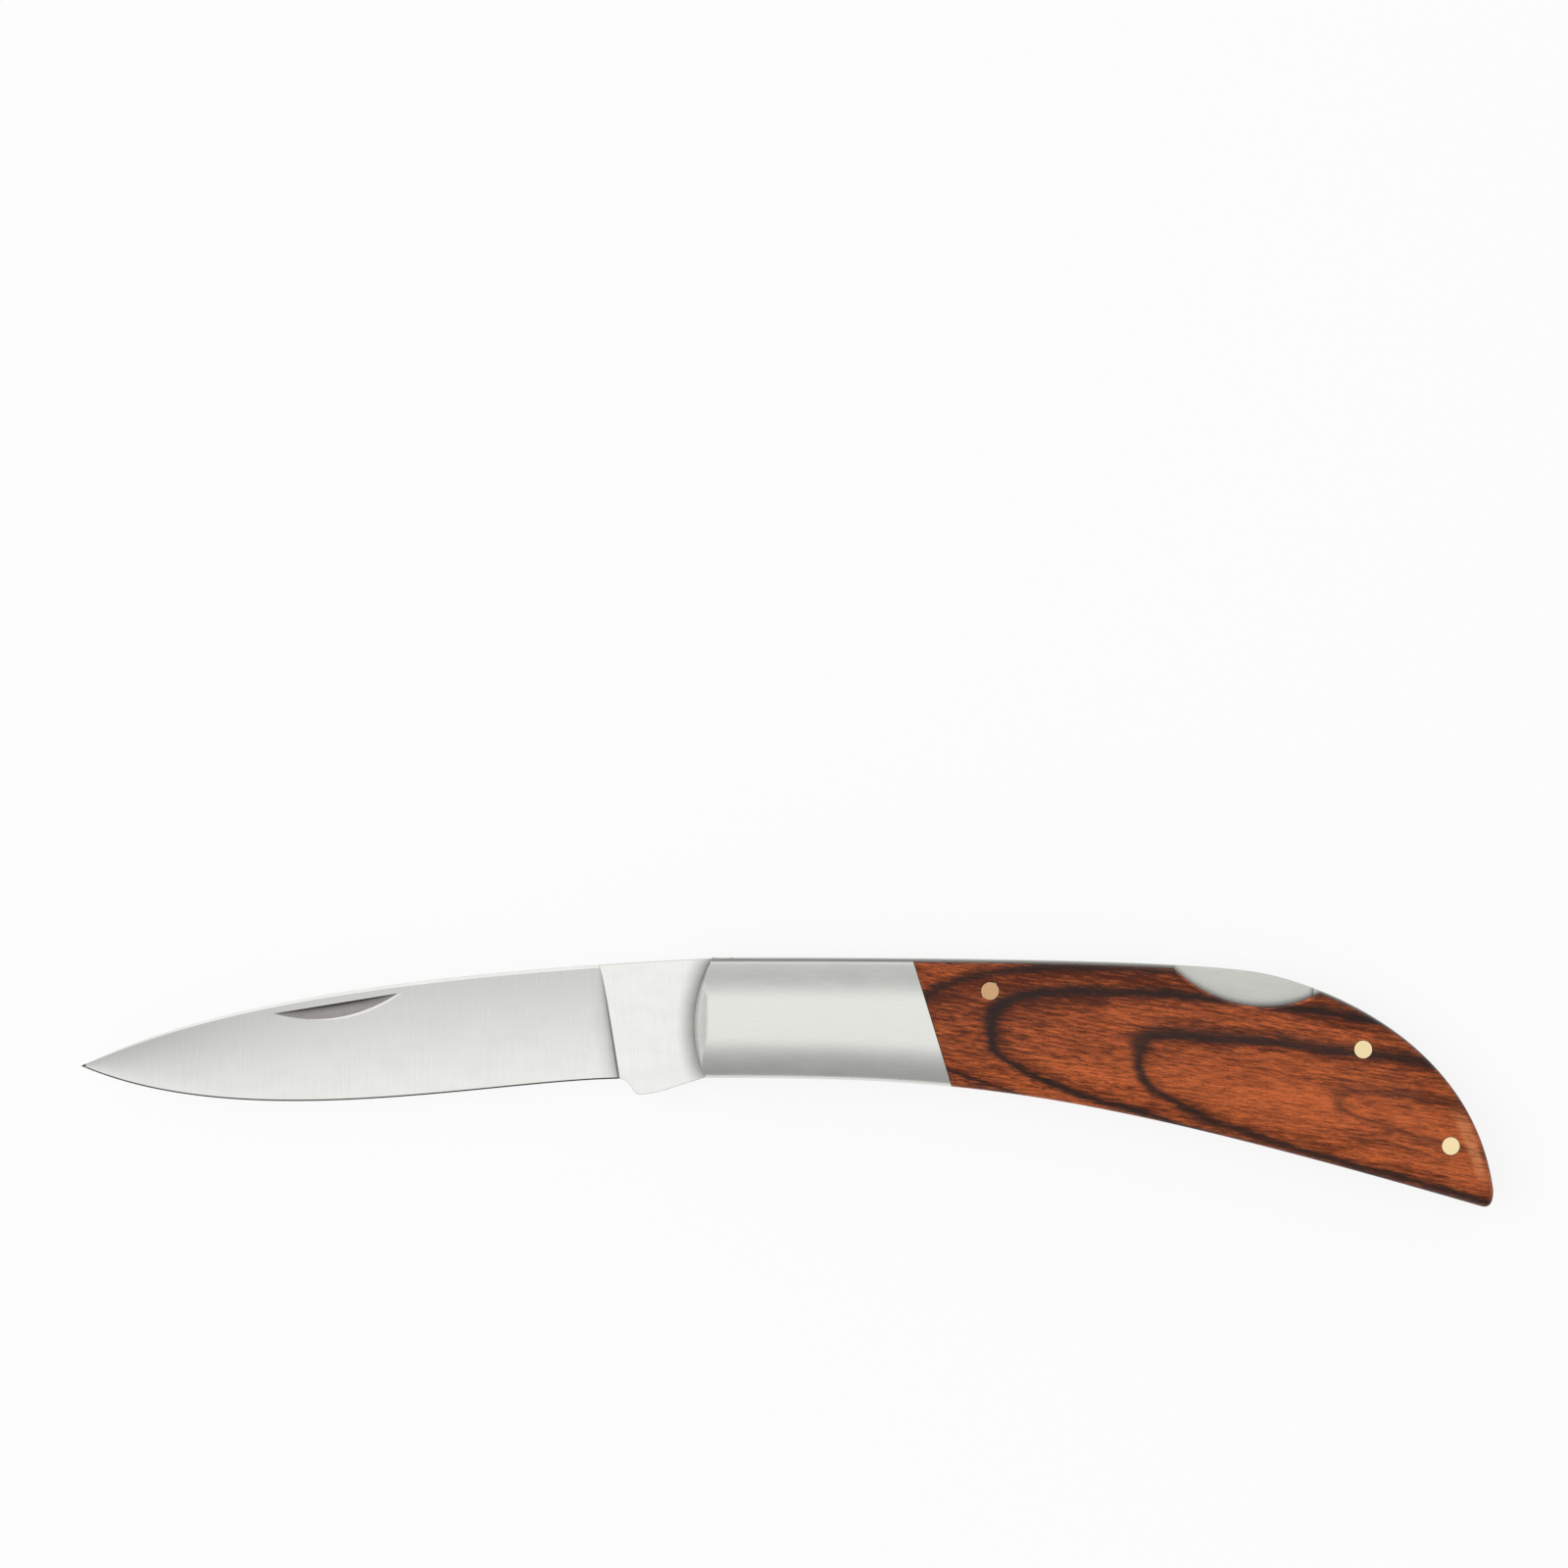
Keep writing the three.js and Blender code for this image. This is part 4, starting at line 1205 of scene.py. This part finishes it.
KEY_POWER = 4.0
KEY_SIZE = 0.7
KEY_PLACE = Vector((-0.5, 0.1, 1.0))
FLOOR_GLOW = 0.86  # share of the floor's white that its shade doesn't touch
AMBIENT = 0.7

# What the steel reflects: an even light, more from the back, less from the butt, most from overhead
EVEN_LIGHT = 0.58
BACK_LIGHT = 0.17
BUTT_SHADE = 0.28
ZENITH_WIDTH = 0.034
ZENITH_LIGHT = 0.82


def add_camera():
    distance = VIEW_WIDTH * LENS / SENSOR
    data = bpy.data.cameras.new("camera")
    data.lens = LENS
    data.sensor_width = SENSOR
    data.clip_end = 10.0
    camera = placed("camera", data)
    camera.location = (VIEW_CENTRE.x * MM, VIEW_CENTRE.y * MM, (VIEW_LEVEL + distance) * MM)
    bpy.context.scene.camera = camera


def add_key_light():
    """A soft lamp that the steel doesn't reflect."""
    data = bpy.data.lights.new("key light", "AREA")
    data.size = KEY_SIZE
    data.energy = KEY_POWER
    light = placed("key light", data)
    light.location = KEY_PLACE
    light.rotation_euler = KEY_PLACE.to_track_quat("Z", "Y").to_euler()
    light.visible_camera = False
    light.visible_glossy = False


def seen_share(shader, kinds):
    """1 for rays of the given kinds, otherwise 0."""
    return shader.greatest([shader.node("ShaderNodeLightPath", output=kind) for kind in kinds])


def add_floor():
    """White, with a trace of the knife's soft shade."""
    size = 2.0
    mesh = bpy.data.meshes.new("floor")
    corners = [(-size, -size, 0), (size, -size, 0), (size, size, 0), (-size, size, 0)]
    mesh.from_pydata(corners, [], [(0, 1, 2, 3)])
    shader = new_shader("white floor")
    matt = shader.node("ShaderNodeBsdfDiffuse", {"Color": (0.9, 0.9, 0.9, 1)})
    white = shader.node("ShaderNodeEmission", {"Color": (1, 1, 1, 1), "Strength": 1.0})
    seen = seen_share(shader, ("Is Camera Ray", "Is Glossy Ray", "Is Transmission Ray"))
    mixed = shader.node("ShaderNodeMixShader",
                        {"Fac": FLOOR_GLOW * seen, "Shader": matt, "Shader_001": white})
    shader.node("ShaderNodeOutputMaterial", {"Surface": mixed})
    mesh.materials.append(shader.holder)
    floor = placed("floor", mesh)


def add_world():
    """White behind the knife, and a soft light overhead in what its steel reflects."""
    world = bpy.data.worlds.new("studio")
    bpy.context.scene.world = world
    shader = Shader(world)
    direction = shader.node("ShaderNodeTexCoord", output="Generated")
    along, side, up = (shader.part(direction, axis) for axis in "XYZ")
    overhead = shader.sum("EXPONENT", (up - 1) / ZENITH_WIDTH)
    reflected = EVEN_LIGHT + BACK_LIGHT * side - BUTT_SHADE * along + ZENITH_LIGHT * overhead
    glossy = seen_share(shader, ("Is Glossy Ray",))
    white = seen_share(shader, ("Is Camera Ray", "Is Transmission Ray"))
    other = AMBIENT + (reflected - AMBIENT) * glossy
    strength = other + (1 - other) * white
    background = shader.node("ShaderNodeBackground", {"Color": (1, 1, 1, 1), "Strength": strength})
    shader.node("ShaderNodeOutputWorld", {"Surface": background})


def main():
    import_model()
    bpy.context.scene.view_settings.view_transform = "Standard"
    add_camera()
    handle = Handle()
    satin = bolster_steel()
    frame = frame_steel()
    wood = laminated_wood("laminated wood")
    # the scoop's chamfer: the same wood painted lighter, as a highlight
    highlit_edge_wood = laminated_wood("wood edge with painted highlight", 2.6)
    make_covers(handle, wood, highlit_edge_wood, satin)
    make_blade(handle, blade_steel(), nick_steel(), shaded_edge_steel())
    make_liners(handle, frame)
    colour_washers(washer_bronze())
    make_plate("lock_bar_plate", "lock_bar", frame, "lock_bar")
    make_plate("back_spacer_plate", "back_spacer", frame, "handle")
    make_lock_spring(spring_steel())
    make_scale_pins("copper_rocker_pin", handle, pin_metal("copper", (0.7, 0.42, 0.22)),
                    [handle.rocker], ["rocker_pin"])
    make_scale_pins("brass_rear_pins", handle, pin_metal("pale brass", (1.0, 0.81, 0.47)),
                    [handle.spine_pin, handle.butt_pin], ["spine_pin", "butt_pin"])
    make_hidden_pins(handle, satin)
    add_floor()
    add_world()
    add_key_light()


main()
